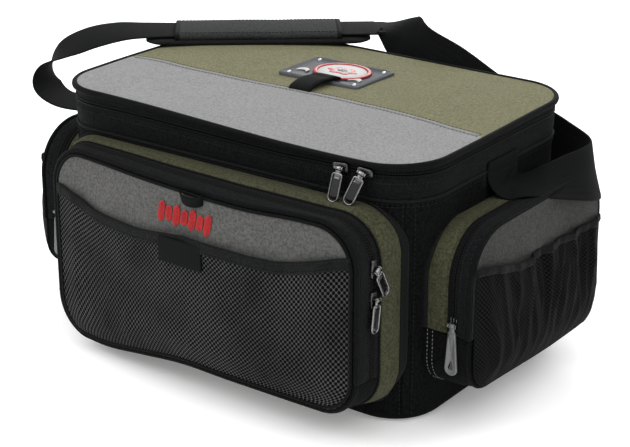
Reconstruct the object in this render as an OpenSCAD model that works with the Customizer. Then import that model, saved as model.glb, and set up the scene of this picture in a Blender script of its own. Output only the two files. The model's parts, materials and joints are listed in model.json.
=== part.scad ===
// Soft-sided fishing tackle bag: zipped lid, three zipped pockets and a padded shoulder strap.
// Origin: centre of the main compartment's base. X runs to the right, Y to the back, Z up.

/* [Main compartment] */
// Width of the main compartment, left to right
body_w = 400; // [392:2:408]
// Depth of the main compartment, front to back
body_d = 268; // [264:2:272]
// Height from the resting face to the top of the lid piping
bag_h = 244; // [243:1:252]
// Plan radius of the upright corners
corner_r = 48; // [46:1:50]
// Thickness of the outer fabric shell
shell_t = 2; // [1.5:0.5:2]
// Thickness of the foam in the walls and lid
foam_t = 5; // [4:0.5:5]

/* [Lid] */
// Height of the lid's skirt, which is the upper half of the zip
skirt_h = 13; // [12:0.5:14]
// Share of the lid's depth taken by the grey front panel
grey_share = 0.4; // [0.35:0.05:0.45]

/* [Front pocket] */
// Width of the front pocket
front_w = 370; // [362:2:372]
// Height of the front pocket's top above the resting face
front_top = 202; // [196:1:202]
// Height of the front pocket's underside above the resting face
front_base = 28; // [22:1:30]
// How far the pocket's stiff panel stands out from the body
front_depth = 62; // [56:2:64]
// Depth of the olive gusset next to the body
front_olive = 28; // [24:1:30]

/* [Side pockets] */
// Length of a side pocket, front to back
side_len = 216; // [208:2:218]
// Height of a side pocket's top above the resting face
side_top = 181; // [176:1:181]
// Height of a side pocket's underside above the resting face
side_base = 33; // [28:1:36]
// How far a side pocket's panel stands out from the body
side_depth = 44; // [42:1:46]
// Depth of the olive gusset next to the body
side_olive = 22; // [18:1:23]
// Height of the fold that a side flap opens about
side_fold = 92; // [86:2:94]

/* [Shoulder strap] */
// Width of the shoulder strap's webbing
strap_w = 50; // [46:2:50]
// Thickness of the webbing
strap_t = 2; // [1.5:0.5:2]
// Length of the shoulder pad
pad_l = 231; // [215:4:231]

/* [Zip pulls] */
// Length of the long bar pulls on the lid and front pocket, from the pin
bar_l = 29; // [26:1:29]
// Length of the drop-shaped pulls on the side pockets, from the pin
drop_l = 46; // [38:2:48]

/* [Hidden] */
$fn = 64;

black = "#17191b";
mesh_black = "#232526";
olive = "#5c5f38";
grey = "#77797a";
foam_grey = "#8d9196";
metal = "#55585b";
cast_grey = "#8e9192";

cut = 1;            // how far a cutting shape runs past what it cuts
joint_gap = 0.3;    // half of the gap along each zip and fold

// Heights of the main compartment
zip_z = bag_h - skirt_h;
tape_h = 12;
tape_t = 1.2;
board_t = 3;
lining_t = 1;
rim_h = 4;
rim_z = zip_z - 0.5 - rim_h;
liner_inset = shell_t + foam_t;

// The lid's layers, from its underside up
lid_lining_z = zip_z + 2;
lid_foam_z = lid_lining_z + lining_t;
lid_panel_t = 3;
lid_panel_z = bag_h - 1 - lid_panel_t;
lid_top_z = lid_panel_z + lid_panel_t;
lid_over = tape_t;
piping_t = 3.2;
piping_h = 6.5;
seam_y = -body_d / 2 + grey_share * body_d;
hinge_half = body_w / 2 - corner_r;

// Pocket outlines
wall_t = 2;
panel_t = 2.5;
front_h = front_top - front_base;
front_rt = 38;
front_rb = 35;
front_zip_end = front_base + 34; // height at which the front zip stops above the lower corners
front_zip_depth = front_olive + 11.5;
front_fold_z = front_base + 5.5;
front_mesh_top = 157;
front_mesh_gap = 4.8;
front_corner_reach = 16; // how far the gusset reaches back beside the rounded corner
side_h = side_top - side_base;
side_rt = 45;
side_rb = 30;
side_zip_depth = side_olive + 5.5;
side_mesh_top = 138;
side_mesh_gap = 9.5;
side_corner_reach = 8;
mesh_t = 1.2;
mesh_inset = 5;

// Badge and its webbing loop on the lid
badge_w = 92;
badge_d = 66;
badge_t = 2.5;
badge_y = seam_y + 32 + badge_d / 2;
loop_w = 25;
loop_half = 24;
loop_rise = 13;
loop_r = (loop_half * loop_half + loop_rise * loop_rise) / (2 * loop_rise);

// Zip sliders and pulls
slider_lift = 0.3;
slider_h = 3.4;
slider_l = 8;
slider_w = 9;
pin_h = 6;
pin_r = 0.9;
pin_fit = 0.05;
eye_w = 5.6;
eye_r = 2;
lug_t = 1.5;
pull_w = 11;
pull_t = 1.8;
main_left_x = body_w / 2 - corner_r - 23;
main_right_x = body_w / 2 - corner_r;
main_tilt = 20;
main_lean = 17;
front_upper_z = front_top - front_rt;
front_lower_z = front_upper_z - 26;
front_upper_lean = 28;
front_lower_lean = -8;
side_slider_z = side_fold + 10;

// The shoulder strap's route: centre line, then the direction across the webbing.
// It starts at the left anchor, curls out and back over the lid's corner, runs straight
// through the pad, turns on edge behind the bag and comes round to the right anchor.
across = [-0.616, 0.788, 0];
strap_route = [
    [[-203, 4, 216], [0, 1, 0]],
    [[-203, 4, 200], [0, 1, 0]],
    [[-207, 2, 189], [-0.2, 1, 0]],
    [[-228, -13, 186], across],
    [[-252, -33, 188], [-0.56, 0.83, 0]],
    [[-274, -49, 194], [-0.42, 0.91, 0]],
    [[-289, -55, 207], [-0.28, 0.96, 0.04]],
    [[-292, -50, 223], [-0.32, 0.94, 0.12]],
    [[-284, -35, 238], [-0.45, 0.86, 0.24]],
    [[-270, -13, 248], [-0.55, 0.8, 0.22]],
    [[-252, 9, 253], [-0.61, 0.78, 0.14]],
    [[-231, 28, 254], [-0.616, 0.788, 0.05]],
    [[-186, 63.2, 254], across],
    [[-140, 99.1, 254], across],
    [[-94, 135.1, 254], across],
    [[-49, 170.3, 254], across],
    [[-30, 177, 252.5], [-0.5, 0.7, 0.4]],
    [[-8, 174, 248], [-0.2, 0.4, 0.9]],
    [[22, 165, 242], [0, 0, 1]],
    [[60, 158, 232], [0, 0, 1]],
    [[100, 154, 215], [0, 0, 1]],
    [[145, 152, 196], [0, 0, 1]],
    [[187, 149, 182], [0, 0, 1]],
    [[217, 136, 178], [-0.12, 0.05, 1]],
    [[237, 115, 180], [-0.3, 0.15, 0.94]],
    [[246, 91, 183], [-0.48, 0.3, 0.82]],
    [[246, 66, 186], [-0.62, 0.46, 0.62]],
    [[236, 41, 187], [-0.68, 0.6, 0.32]],
    [[221, 21, 187], [-0.62, 0.77, 0.08]],
    [[208, 7, 190], [-0.2, 1, 0]],
    [[203, 4, 201], [0, 1, 0]],
    [[203, 4, 216], [0, 1, 0]]
];
rings_per_point = 3;
pad_turn = 38;
pad_centre = [-140, 99.1];
pad_w = 55;
pad_corner = 14;
pad_z = bag_h + 0.6;
pad_cushion_t = 6.2;
sleeve_l = 165;
sleeve_h = 6.4;
sleeve_slot = [53, 3.4];

// ---------- shared shapes ----------

// Rectangle with four rounded corners, centred
module rounded_rect(w, d, r) {
    square([w - 2 * r, d], center = true);
    square([w, d - 2 * r], center = true);
    for (x = [-1, 1], y = [-1, 1]) translate([x * (w / 2 - r), y * (d / 2 - r)]) circle(r);
}

// The compartment's plan outline, moved outwards by grow, as a slab between two heights
module plan_slab(grow, z0, z1) {
    translate([0, 0, z0])
        linear_extrude(z1 - z0)
            rounded_rect(body_w + 2 * grow, body_d + 2 * grow, corner_r + grow);
}

// A band of the plan outline between two offsets
module plan_ring(inner, outer, z0, z1) {
    difference() {
        plan_slab(outer, z0, z1);
        plan_slab(inner, z0 - cut, z1 + cut);
    }
}

// A pocket's outline standing on the X axis, with its own top and bottom radii
module pocket_outline(w, h, rt, rb, inset) {
    ow = w - 2 * inset;
    oh = h - 2 * inset;
    ot = rt - inset;
    ob = rb - inset;
    translate([0, inset]) {
        translate([-ow / 2 + ot, ob]) square([ow - 2 * ot, oh - ob]);
        translate([-ow / 2, ob]) square([ow, oh - ot - ob]);
        translate([-ow / 2 + ob, 0]) square([ow - 2 * ob, oh - ot]);
        for (s = [-1, 1]) {
            translate([s * (ow / 2 - ot), oh - ot]) circle(ot);
            translate([s * (ow / 2 - ob), ob]) circle(ob);
        }
    }
}

module front_outline(inset) {
    pocket_outline(front_w, front_h, front_rt, front_rb, inset);
}

module side_outline(inset) {
    pocket_outline(side_len, side_h, side_rt, side_rb, inset);
}

// Extrudes a 2D shape away from the front of the body, between two depths
module off_front(from, to) {
    translate([0, -body_d / 2 - from, front_base]) rotate([90, 0, 0]) linear_extrude(to - from) children();
}

// Extrudes a 2D shape away from the right side of the body, between two depths
module off_side(from, to) {
    translate([body_w / 2 + from, 0, side_base]) rotate([90, 0, 90]) linear_extrude(to - from) children();
}

module front_ring(from, to) {
    difference() {
        off_front(from, to) front_outline(0);
        off_front(from - cut, to + cut) front_outline(wall_t);
    }
}

module side_ring(from, to) {
    difference() {
        off_side(from, to) side_outline(0);
        off_side(from - cut, to + cut) side_outline(wall_t);
    }
}

// Keeps what lies between two heights
module between(z0, z1) {
    span = 2 * (body_w + body_d);
    intersection() {
        children();
        translate([-span / 2, -span / 2, z0]) cube([span, span, z1 - z0]);
    }
}

module mirrored(side) {
    if (side == "left") mirror([1, 0, 0]) children();
    else children();
}

// ---------- main compartment ----------

module outer_shell() {
    color(black) difference() {
        plan_slab(0, 0, rim_z);
        plan_slab(-shell_t, shell_t, rim_z + cut);
    }
}

module base_board() {
    board_fit = 0.5;
    color(foam_grey) plan_slab(-shell_t - board_fit, shell_t, shell_t + board_t);
}

// Four flat foam panels between the shell and the lining
module wall_foam() {
    z0 = shell_t + board_t;
    long = body_w - 2 * corner_r;
    short = body_d - 2 * corner_r;
    inner_x = body_w / 2 - liner_inset;
    inner_y = body_d / 2 - liner_inset;
    color(foam_grey) {
        for (y = [-inner_y - foam_t, inner_y])
            translate([-long / 2, y, z0]) cube([long, foam_t, rim_z - z0]);
        for (x = [-inner_x - foam_t, inner_x])
            translate([x, -short / 2, z0]) cube([foam_t, short, rim_z - z0]);
    }
}

module lining() {
    z0 = shell_t + board_t;
    color(mesh_black) difference() {
        plan_slab(-liner_inset, z0, rim_z);
        plan_slab(-liner_inset - lining_t, z0 + lining_t, rim_z + cut);
    }
}

module rim_binding() {
    color(black) plan_ring(-liner_inset - lining_t, 0, rim_z, rim_z + rim_h);
}

// The zip's half band around the front, the sides and the two back corners
module main_zip_half(z0, z1) {
    difference() {
        plan_ring(0, tape_t, z0, z1);
        translate([-hinge_half, 0, z0 - cut]) cube([2 * hinge_half, body_d, z1 - z0 + 2 * cut]);
    }
}

module lower_zip_tape() {
    color(black) main_zip_half(zip_z - tape_h, zip_z - joint_gap);
}

// The strip of fabric that the lid folds about
module hinge_fabric() {
    color(black) translate([-hinge_half, body_d / 2, zip_z - tape_h])
        cube([2 * hinge_half, tape_t, tape_h + lid_panel_z - zip_z]);
}

// ---------- lid ----------

module lid_grey_panel() {
    color(grey) intersection() {
        plan_slab(lid_over, lid_panel_z, lid_top_z);
        translate([-body_w, -body_d, 0]) cube([2 * body_w, body_d + seam_y, bag_h]);
    }
}

module lid_olive_panel() {
    color(olive) intersection() {
        plan_slab(lid_over, lid_panel_z, lid_top_z);
        translate([-body_w, seam_y, 0]) cube([2 * body_w, body_d, bag_h]);
    }
}

module lid_foam() {
    color(foam_grey) plan_slab(-lining_t, lid_foam_z, lid_panel_z);
}

module lid_lining() {
    color(mesh_black) plan_slab(-lining_t, lid_lining_z, lid_foam_z);
}

module lid_zip_tape() {
    color(black) main_zip_half(zip_z + joint_gap, lid_panel_z);
}

module lid_piping() {
    color(black) plan_ring(lid_over, lid_over + piping_t, bag_h - piping_h, bag_h);
}

module badge_block(grow) {
    translate([-badge_w / 2 - grow, badge_y - badge_d / 2 - grow, lid_top_z])
        cube([badge_w + 2 * grow, badge_d + 2 * grow, badge_t + grow]);
}

module badge() {
    color(foam_grey) badge_block(0);
}

// A plain raised ring with a bar across it
module badge_emblem() {
    emblem_r = 21;
    emblem_h = 1;
    bar_w = 5;
    color("firebrick") translate([0, badge_y + 8, lid_top_z + badge_t]) {
        difference() {
            cylinder(r = emblem_r, h = emblem_h);
            translate([0, 0, -cut]) cylinder(r = emblem_r - bar_w, h = emblem_h + 2 * cut);
        }
        translate([-emblem_r + bar_w / 2, -bar_w / 2, 0])
            cube([2 * emblem_r - bar_w, bar_w, emblem_h]);
    }
}

// Webbing that arches from the lid's seam onto the badge's front edge
module badge_loop() {
    web_t = 2;
    centre_z = lid_top_z + loop_rise - loop_r;
    color(black) difference() {
        translate([-loop_w / 2, seam_y + loop_half, centre_z])
            rotate([90, 0, 90]) linear_extrude(loop_w) difference() {
                circle(loop_r);
                circle(loop_r - web_t);
            }
        translate([-body_w, -body_d, -bag_h]) cube([2 * body_w, 2 * body_d, bag_h + lid_top_z]);
        badge_block(0);
    }
}

// ---------- front pocket ----------

module front_gusset() {
    color(olive) difference() {
        front_ring(-front_corner_reach, front_olive);
        plan_slab(0, -cut, bag_h);
    }
}

module front_zip_tape() {
    color(black) between(front_zip_end, front_top + cut)
        front_ring(front_olive, front_zip_depth - joint_gap);
}

// The pocket's floor and lower corners, with the lip that the flap folds about
module front_pocket_base() {
    color(black) {
        between(0, front_zip_end - joint_gap) front_ring(front_olive, front_depth);
        between(0, front_fold_z - joint_gap) off_front(front_depth, front_depth + panel_t) front_outline(0);
    }
}

module front_flap_tape() {
    color(black) between(front_zip_end + joint_gap, front_top + cut)
        front_ring(front_zip_depth + joint_gap, front_depth + joint_gap);
}

module front_panel() {
    color(black) between(front_fold_z + joint_gap, front_top + cut)
        off_front(front_depth + joint_gap, front_depth + panel_t) front_outline(0);
}

module front_grey_panel() {
    pad_t = 1.5;
    color(grey) between(front_mesh_top + joint_gap, front_top)
        off_front(front_depth + panel_t, front_depth + panel_t + pad_t) front_outline(mesh_inset);
}

// An open-topped pouch of mesh on the panel
module front_mesh() {
    z0 = front_fold_z + joint_gap;
    face = front_depth + panel_t + front_mesh_gap;
    color(mesh_black) between(z0, front_mesh_top) {
        difference() {
            off_front(front_depth + panel_t, face + mesh_t) front_outline(mesh_inset);
            difference() {
                off_front(front_depth + panel_t - cut, face) front_outline(mesh_inset + mesh_t);
                translate([-body_w, -body_d, 0]) cube([2 * body_w, 2 * body_d, z0 + mesh_t]);
            }
        }
    }
}

module front_binding() {
    binding_h = 10;
    binding_t = 0.8;
    face = front_depth + panel_t + front_mesh_gap + mesh_t;
    color(black) between(front_mesh_top - binding_h + 2, front_mesh_top + 2)
        off_front(face, face + binding_t) front_outline(mesh_inset);
}

module front_piping() {
    cord_t = 2.5;
    color(black) between(front_zip_end + joint_gap, front_top + cord_t + cut) difference() {
        off_front(front_depth - cord_t, front_depth + panel_t) front_outline(-cord_t);
        off_front(front_depth - 2 * cord_t, front_depth + 2 * panel_t) front_outline(0);
    }
}

// Hook-and-loop tab that closes the mesh pouch
module front_hook_tab() {
    tab = [48, 1.2, 24];
    face = front_depth + panel_t + front_mesh_gap + mesh_t;
    color(black) translate([-tab[0] / 2, -body_d / 2 - face - tab[1], front_mesh_top - 8 - tab[2]]) cube(tab);
}

module front_finger_tab() {
    tab = [18, 2, 12];
    face = front_depth + panel_t + 1.5;
    color(black) translate([1, -body_d / 2 - face - tab[1], front_top - 4 - tab[2]]) cube(tab);
}

// ---------- side pockets ----------

module side_gusset(side) {
    color(olive) mirrored(side) between(side_fold, side_top + cut) difference() {
        side_ring(-side_corner_reach, side_olive);
        plan_slab(0, -cut, bag_h);
    }
}

module side_zip_tape(side) {
    color(black) mirrored(side) between(side_fold, side_top + cut)
        side_ring(side_olive, side_zip_depth - joint_gap);
}

// The closed lower half of a side pocket
module side_pouch(side) {
    color(black) mirrored(side) between(0, side_fold - joint_gap) {
        difference() {
            off_side(-side_corner_reach, side_depth + panel_t) side_outline(0);
            off_side(-2 * side_corner_reach, side_depth) side_outline(wall_t);
            plan_slab(0, -cut, bag_h);
        }
    }
}

module side_flap_tape(side) {
    color(black) mirrored(side) between(side_fold + joint_gap, side_top + cut)
        side_ring(side_zip_depth + joint_gap, side_depth);
}

module side_flap_panel(side) {
    color(grey) mirrored(side) between(side_fold + joint_gap, side_top + cut)
        off_side(side_depth, side_depth + panel_t) side_outline(0);
}

// The gathered mesh pouch on a side pocket's panel, between two heights
module side_mesh(side, z0, z1) {
    face = side_depth + panel_t + side_mesh_gap;
    color(mesh_black) mirrored(side) between(z0, z1) difference() {
        off_side(side_depth + panel_t, face + mesh_t) side_outline(mesh_inset);
        off_side(side_depth + panel_t - cut, face) side_outline(mesh_inset + mesh_t);
    }
}

// ---------- shoulder strap ----------

// A smooth curve through the route's points, at t from 0 to 1 between points i and i + 1
function clamped(list, i) = list[max(0, min(len(list) - 1, i))];
function blend4(a, b, c, d, t) =
    0.5 * (2 * b + (c - a) * t + (2 * a - 5 * b + 4 * c - d) * t * t + (3 * b - a - 3 * c + d) * t * t * t);
function along(list, k, i, t) = blend4(
    clamped(list, i - 1)[k], clamped(list, i)[k], clamped(list, i + 1)[k], clamped(list, i + 2)[k], t
);
function unit(v) = v / norm(v);

module ribbon(route, w, t) {
    steps = rings_per_point * (len(route) - 1);
    centre = [for (n = [0 : steps])
        along(route, 0, floor(n / rings_per_point), n / rings_per_point - floor(n / rings_per_point))];
    side = [for (n = [0 : steps])
        unit(along(route, 1, floor(n / rings_per_point), n / rings_per_point - floor(n / rings_per_point)))];
    points = [for (n = [0 : steps])
        let (
            ahead = unit(clamped(centre, n + 1) - clamped(centre, n - 1)),
            up = unit(cross(ahead, side[n])),
            out = cross(up, ahead)
        )
        each [
            centre[n] - out * w / 2 - up * t / 2,
            centre[n] + out * w / 2 - up * t / 2,
            centre[n] + out * w / 2 + up * t / 2,
            centre[n] - out * w / 2 + up * t / 2
        ]
    ];
    walls = [for (n = [0 : steps - 1], k = [0 : 3])
        [4 * n + k, 4 * n + (k + 1) % 4, 4 * n + 4 + (k + 1) % 4, 4 * n + 4 + k]];
    split_walls = [for (f = walls) each [[f[0], f[2], f[1]], [f[0], f[3], f[2]]]];
    last = 4 * steps;
    polyhedron(
        points,
        concat(split_walls, [[0, 1, 2], [0, 2, 3], [last, last + 2, last + 1], [last, last + 3, last + 2]])
    );
}

module shoulder_strap() {
    color(black) ribbon(strap_route, strap_w, strap_t);
}

// The reinforcement patch that the webbing is sewn to
module strap_anchor(side) {
    patch = [1, 60, 30];
    color(black) mirrored(side) translate([body_w / 2, 4 - patch[1] / 2, zip_z - tape_h - patch[2] - 2]) cube(patch);
}

module at_pad() {
    translate([pad_centre[0], pad_centre[1], pad_z]) rotate([0, 0, pad_turn]) children();
}

module pad_cushion() {
    color(black) at_pad() linear_extrude(pad_cushion_t) rounded_rect(pad_l, pad_w, pad_corner);
}

// The sleeve that the webbing runs through
module pad_sleeve() {
    color(foam_grey) at_pad() translate([-sleeve_l / 2, -pad_w / 2, pad_cushion_t]) difference() {
        cube([sleeve_l, pad_w, sleeve_h]);
        translate([-cut, (pad_w - sleeve_slot[0]) / 2, (sleeve_h - sleeve_slot[1]) / 2])
            cube([sleeve_l + 2 * cut, sleeve_slot[0], sleeve_slot[1]]);
    }
}

// ---------- zip sliders and pulls ----------

// A slider lying on its tape: travel along X, outwards along Z, its pin turned from X by pin_turn
module slider(pin_turn) {
    lug_z0 = slider_lift + slider_h - 0.5;
    lug_z1 = pin_h + pin_r + 0.8;
    color(metal) {
        translate([0, 0, slider_lift]) linear_extrude(slider_h) {
            square([slider_l, slider_w], center = true);
            for (s = [-1, 1]) translate([s * slider_l / 2, 0]) circle(slider_w / 2);
        }
        rotate([0, 0, pin_turn]) {
            for (s = [-1, 1])
                translate([s * (eye_w / 2 + joint_gap + lug_t / 2), 0, (lug_z0 + lug_z1) / 2])
                    cube([lug_t, 2 * (lug_z1 - pin_h), lug_z1 - lug_z0], center = true);
            translate([0, 0, pin_h]) rotate([0, 90, 0]) cylinder(r = pin_r, h = eye_w + lug_t, center = true);
        }
    }
}

module pull_eye_bore() {
    rotate([0, 90, 0]) cylinder(r = pin_r + pin_fit, h = pull_w, center = true);
}

module pull_eye() {
    neck_l = 7;
    rotate([0, 90, 0]) cylinder(r = eye_r, h = eye_w, center = true);
    translate([-eye_w / 2, -pull_t / 2, -neck_l]) cube([eye_w, pull_t, neck_l]);
}

// A flat bar with a raised rim, hanging down from its pin along X
module bar_pull() {
    blade_top = 5;
    rim = 1.6;
    recess = 0.5;
    color(metal) difference() {
        union() {
            pull_eye();
            translate([-pull_w / 2, -pull_t / 2, -bar_l]) cube([pull_w, pull_t, bar_l - blade_top]);
        }
        pull_eye_bore();
        for (y = [-pull_t / 2 - cut, pull_t / 2 - recess])
            translate([-pull_w / 2 + rim, y, -bar_l + rim])
                cube([pull_w - 2 * rim, recess + cut, bar_l - blade_top - 2 * rim]);
    }
}

// A cast drop that widens towards its round end
module drop_pull() {
    blade_top = 6;
    end_r = 6.5;
    top_w = 8;
    dish_r = 2.6;
    recess = 0.5;
    color(cast_grey) difference() {
        union() {
            pull_eye();
            translate([0, pull_t / 2, -drop_l + end_r]) rotate([90, 0, 0]) {
                cylinder(r = end_r, h = pull_t);
                linear_extrude(pull_t) polygon([
                    [-end_r, 0], [end_r, 0],
                    [top_w / 2, drop_l - end_r - blade_top], [-top_w / 2, drop_l - end_r - blade_top]
                ]);
            }
        }
        pull_eye_bore();
        translate([0, -pull_t / 2 + recess, -drop_l + end_r]) rotate([90, 0, 0]) cylinder(r = dish_r, h = cut);
    }
}

module at_main_zip(x) {
    translate([x, -body_d / 2 - tape_t, zip_z]) children();
}

module main_slider(x, lean) {
    at_main_zip(x) rotate([90, 0, 0]) slider(-lean);
}

module main_pull(x, lean) {
    at_main_zip(x) translate([0, -pin_h, 0]) rotate([0, lean, 0]) rotate([-main_tilt, 0, 0]) bar_pull();
}

module at_front_zip(z) {
    translate([front_w / 2, -body_d / 2 - front_zip_depth, z]) children();
}

module front_slider(z, lean) {
    at_front_zip(z) rotate([0, 90, 0]) slider(90 + lean);
}

module front_pull(z, lean) {
    at_front_zip(z) translate([pin_h, 0, 0]) rotate([lean, 0, 0]) rotate([0, 0, 90]) bar_pull();
}

module at_side_zip(side) {
    mirrored(side) translate([body_w / 2 + side_zip_depth, -side_len / 2, side_slider_z]) children();
}

module side_slider(side) {
    at_side_zip(side) rotate([90, 0, 0]) rotate([0, 0, 90]) slider(90);
}

module side_pull(side) {
    at_side_zip(side) translate([0, -pin_h, 0]) drop_pull();
}

// ---------- the nodes ----------

outer_shell();
base_board();
wall_foam();
lining();
rim_binding();
lower_zip_tape();
hinge_fabric();
front_gusset();
front_zip_tape();
front_pocket_base();
side_gusset("left");  // left_gusset
side_gusset("right");  // right_gusset
side_zip_tape("left");  // left_zip_tape
side_zip_tape("right");  // right_zip_tape
side_pouch("left");  // left_pouch
side_pouch("right");  // right_pouch
side_mesh("left", 0, side_fold - joint_gap);  // left_mesh_lower
side_mesh("right", 0, side_fold - joint_gap);  // right_mesh_lower
strap_anchor("left");  // left_strap_anchor
strap_anchor("right");  // right_strap_anchor
shoulder_strap();
lid_grey_panel();
lid_olive_panel();
lid_foam();
lid_lining();
lid_zip_tape();
lid_piping();
badge();
badge_emblem();
badge_loop();
pad_cushion();
pad_sleeve();
front_flap_tape();
front_panel();
front_grey_panel();
front_mesh();
front_binding();
front_piping();
front_hook_tab();
front_finger_tab();
side_flap_tape("left");  // left_flap_tape
side_flap_tape("right");  // right_flap_tape
side_flap_panel("left");  // left_flap_panel
side_flap_panel("right");  // right_flap_panel
side_mesh("left", side_fold + joint_gap, side_mesh_top);  // left_mesh_upper
side_mesh("right", side_fold + joint_gap, side_mesh_top);  // right_mesh_upper
main_slider(main_left_x, 0);  // main_slider_left
main_slider(main_right_x, main_lean);  // main_slider_right
main_pull(main_left_x, 0);  // main_pull_left
main_pull(main_right_x, main_lean);  // main_pull_right
front_slider(front_upper_z, front_upper_lean);  // front_slider_upper
front_slider(front_lower_z, front_lower_lean);  // front_slider_lower
front_pull(front_upper_z, front_upper_lean);  // front_pull_upper
front_pull(front_lower_z, front_lower_lean);  // front_pull_lower
side_slider("left");  // left_slider
side_slider("right");  // right_slider
side_pull("left");  // left_pull
side_pull("right");  // right_pull
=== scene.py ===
import json
import math

import bmesh
import bpy
from mathutils import Matrix, Vector, noise


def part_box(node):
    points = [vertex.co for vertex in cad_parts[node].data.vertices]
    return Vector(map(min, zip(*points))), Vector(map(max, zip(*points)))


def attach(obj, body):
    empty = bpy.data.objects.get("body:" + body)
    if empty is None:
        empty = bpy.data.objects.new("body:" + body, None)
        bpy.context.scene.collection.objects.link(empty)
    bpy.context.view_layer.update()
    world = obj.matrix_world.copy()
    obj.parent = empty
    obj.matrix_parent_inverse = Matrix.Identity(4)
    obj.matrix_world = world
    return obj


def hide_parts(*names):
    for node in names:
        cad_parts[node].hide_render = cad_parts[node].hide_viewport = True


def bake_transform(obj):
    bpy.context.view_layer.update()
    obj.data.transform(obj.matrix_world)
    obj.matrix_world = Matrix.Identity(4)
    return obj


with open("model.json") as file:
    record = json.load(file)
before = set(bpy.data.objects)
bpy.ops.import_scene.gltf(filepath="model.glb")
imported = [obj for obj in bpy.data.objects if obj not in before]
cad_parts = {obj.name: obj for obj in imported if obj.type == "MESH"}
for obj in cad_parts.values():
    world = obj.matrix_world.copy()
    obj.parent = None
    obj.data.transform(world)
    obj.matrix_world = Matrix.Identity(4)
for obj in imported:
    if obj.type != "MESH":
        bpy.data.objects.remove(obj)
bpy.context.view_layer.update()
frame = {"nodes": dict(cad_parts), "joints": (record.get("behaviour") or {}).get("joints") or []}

MM = 0.001
UP = Vector((0, 0, 1))
LOOKS = {}  # each look's material and its usual slot, filled by main()
FINE = {"pitch": 3.6, "length": 2.4, "girth": 0.4}  # stitch sizes in millimetres
LOOSE = {"pitch": 3.8, "length": 2.6, "girth": 0.4}


# ---------- measures taken from the frame, in millimetres ----------

def low(node):
    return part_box(node)[0] / MM


def high(node):
    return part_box(node)[1] / MM


def joint(name):
    return next(j for j in frame["joints"] if j["name"] == name)


HALF_W = high("outer_shell").x
HALF_D = high("outer_shell").y
CORNER = HALF_W - joint("main_slider_right_travel")["pos_m"][0] / MM
ZIP_Z = high("lower_zip_tape").z + 0.3
TOP_Z = high("lid_piping").z
LID_Z = high("lid_olive_panel").z
SEAM_Y = low("lid_olive_panel").y
FRONT_HALF = high("front_gusset").x
FRONT_BASE = low("front_gusset").z
FRONT_TOP = high("front_gusset").z
FRONT_OLIVE = -HALF_D - low("front_gusset").y
FRONT_SPLIT = -HALF_D - high("front_flap_tape").y - 0.3
FRONT_DEPTH = -HALF_D - low("front_flap_tape").y - 0.3
FRONT_RT = FRONT_HALF - joint("front_slider_upper_travel")["pos_m"][0] / MM
FRONT_RB = 35
FRONT_CLOTH = 2.6  # how far the front pocket's grey cloth swells, and its mesh below
FRONT_MESH = 7.0
FRONT_FOLD = joint("front_flap_hinge")["pos_m"][2] / MM
FRONT_ZIP_END = low("front_flap_tape").z
SIDE_HALF = high("right_gusset").y
SIDE_BASE = low("right_pouch").z
SIDE_TOP = high("right_gusset").z
SIDE_OLIVE = high("right_gusset").x - HALF_W
SIDE_SPLIT = high("right_zip_tape").x - HALF_W + 0.3
SIDE_DEPTH = high("right_flap_tape").x - HALF_W
SIDE_FOLD = joint("right_flap_hinge")["pos_m"][2] / MM
SIDE_RT = 45
SIDE_RB = 30


def smooth(a, b, x):
    """0 before a, 1 after b, and a smooth step between."""
    t = min(1.0, max(0.0, (x - a) / (b - a)))
    return t * t * (3 - 2 * t)


def ripple(p, size, seed=0.0):
    """Smooth noise from -1 to 1 with features about size millimetres across."""
    return noise.noise(Vector((p[0] / size + seed, p[1] / size - seed, p[2] / size + 2 * seed)))


# ---------- camera, lights and floor ----------

CAMERA_AZIMUTH, CAMERA_ELEVATION = 35.84, 21.54  # degrees
CAMERA_TARGET = Vector((-0.0223, 0.0342, 0.0902))
CAMERA_DISTANCE = 1.772
CAMERA_LENS = 102.86


def make_camera():
    azimuth, elevation = math.radians(CAMERA_AZIMUTH), math.radians(CAMERA_ELEVATION)
    forward = Vector((
        -math.sin(azimuth) * math.cos(elevation),
        math.cos(azimuth) * math.cos(elevation),
        -math.sin(elevation),
    ))
    right = Vector((math.cos(azimuth), math.sin(azimuth), 0))
    up = right.cross(forward)
    camera = bpy.data.objects.new("camera", bpy.data.cameras.new("camera"))
    bpy.context.scene.collection.objects.link(camera)
    turn = Matrix((right, up, -forward)).transposed().to_4x4()
    camera.matrix_world = Matrix.Translation(CAMERA_TARGET - forward * CAMERA_DISTANCE) @ turn
    camera.data.lens = CAMERA_LENS
    camera.data.sensor_width = 36
    bpy.context.scene.camera = camera


def area_light(name, place, aim, size, power):
    light = bpy.data.objects.new(name, bpy.data.lights.new(name, "AREA"))
    light.data.size = size
    light.data.energy = power
    light.location = place
    light.rotation_euler = (Vector(aim) - Vector(place)).to_track_quat("-Z", "Y").to_euler()
    bpy.context.scene.collection.objects.link(light)


def soft_sun(name, toward, strength, spread):
    """A wide overcast light that falls evenly on the whole floor."""
    light = bpy.data.objects.new(name, bpy.data.lights.new(name, "SUN"))
    light.data.energy = strength
    light.data.angle = math.radians(spread)
    light.rotation_euler = Vector(toward).to_track_quat("-Z", "Y").to_euler()
    bpy.context.scene.collection.objects.link(light)


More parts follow.
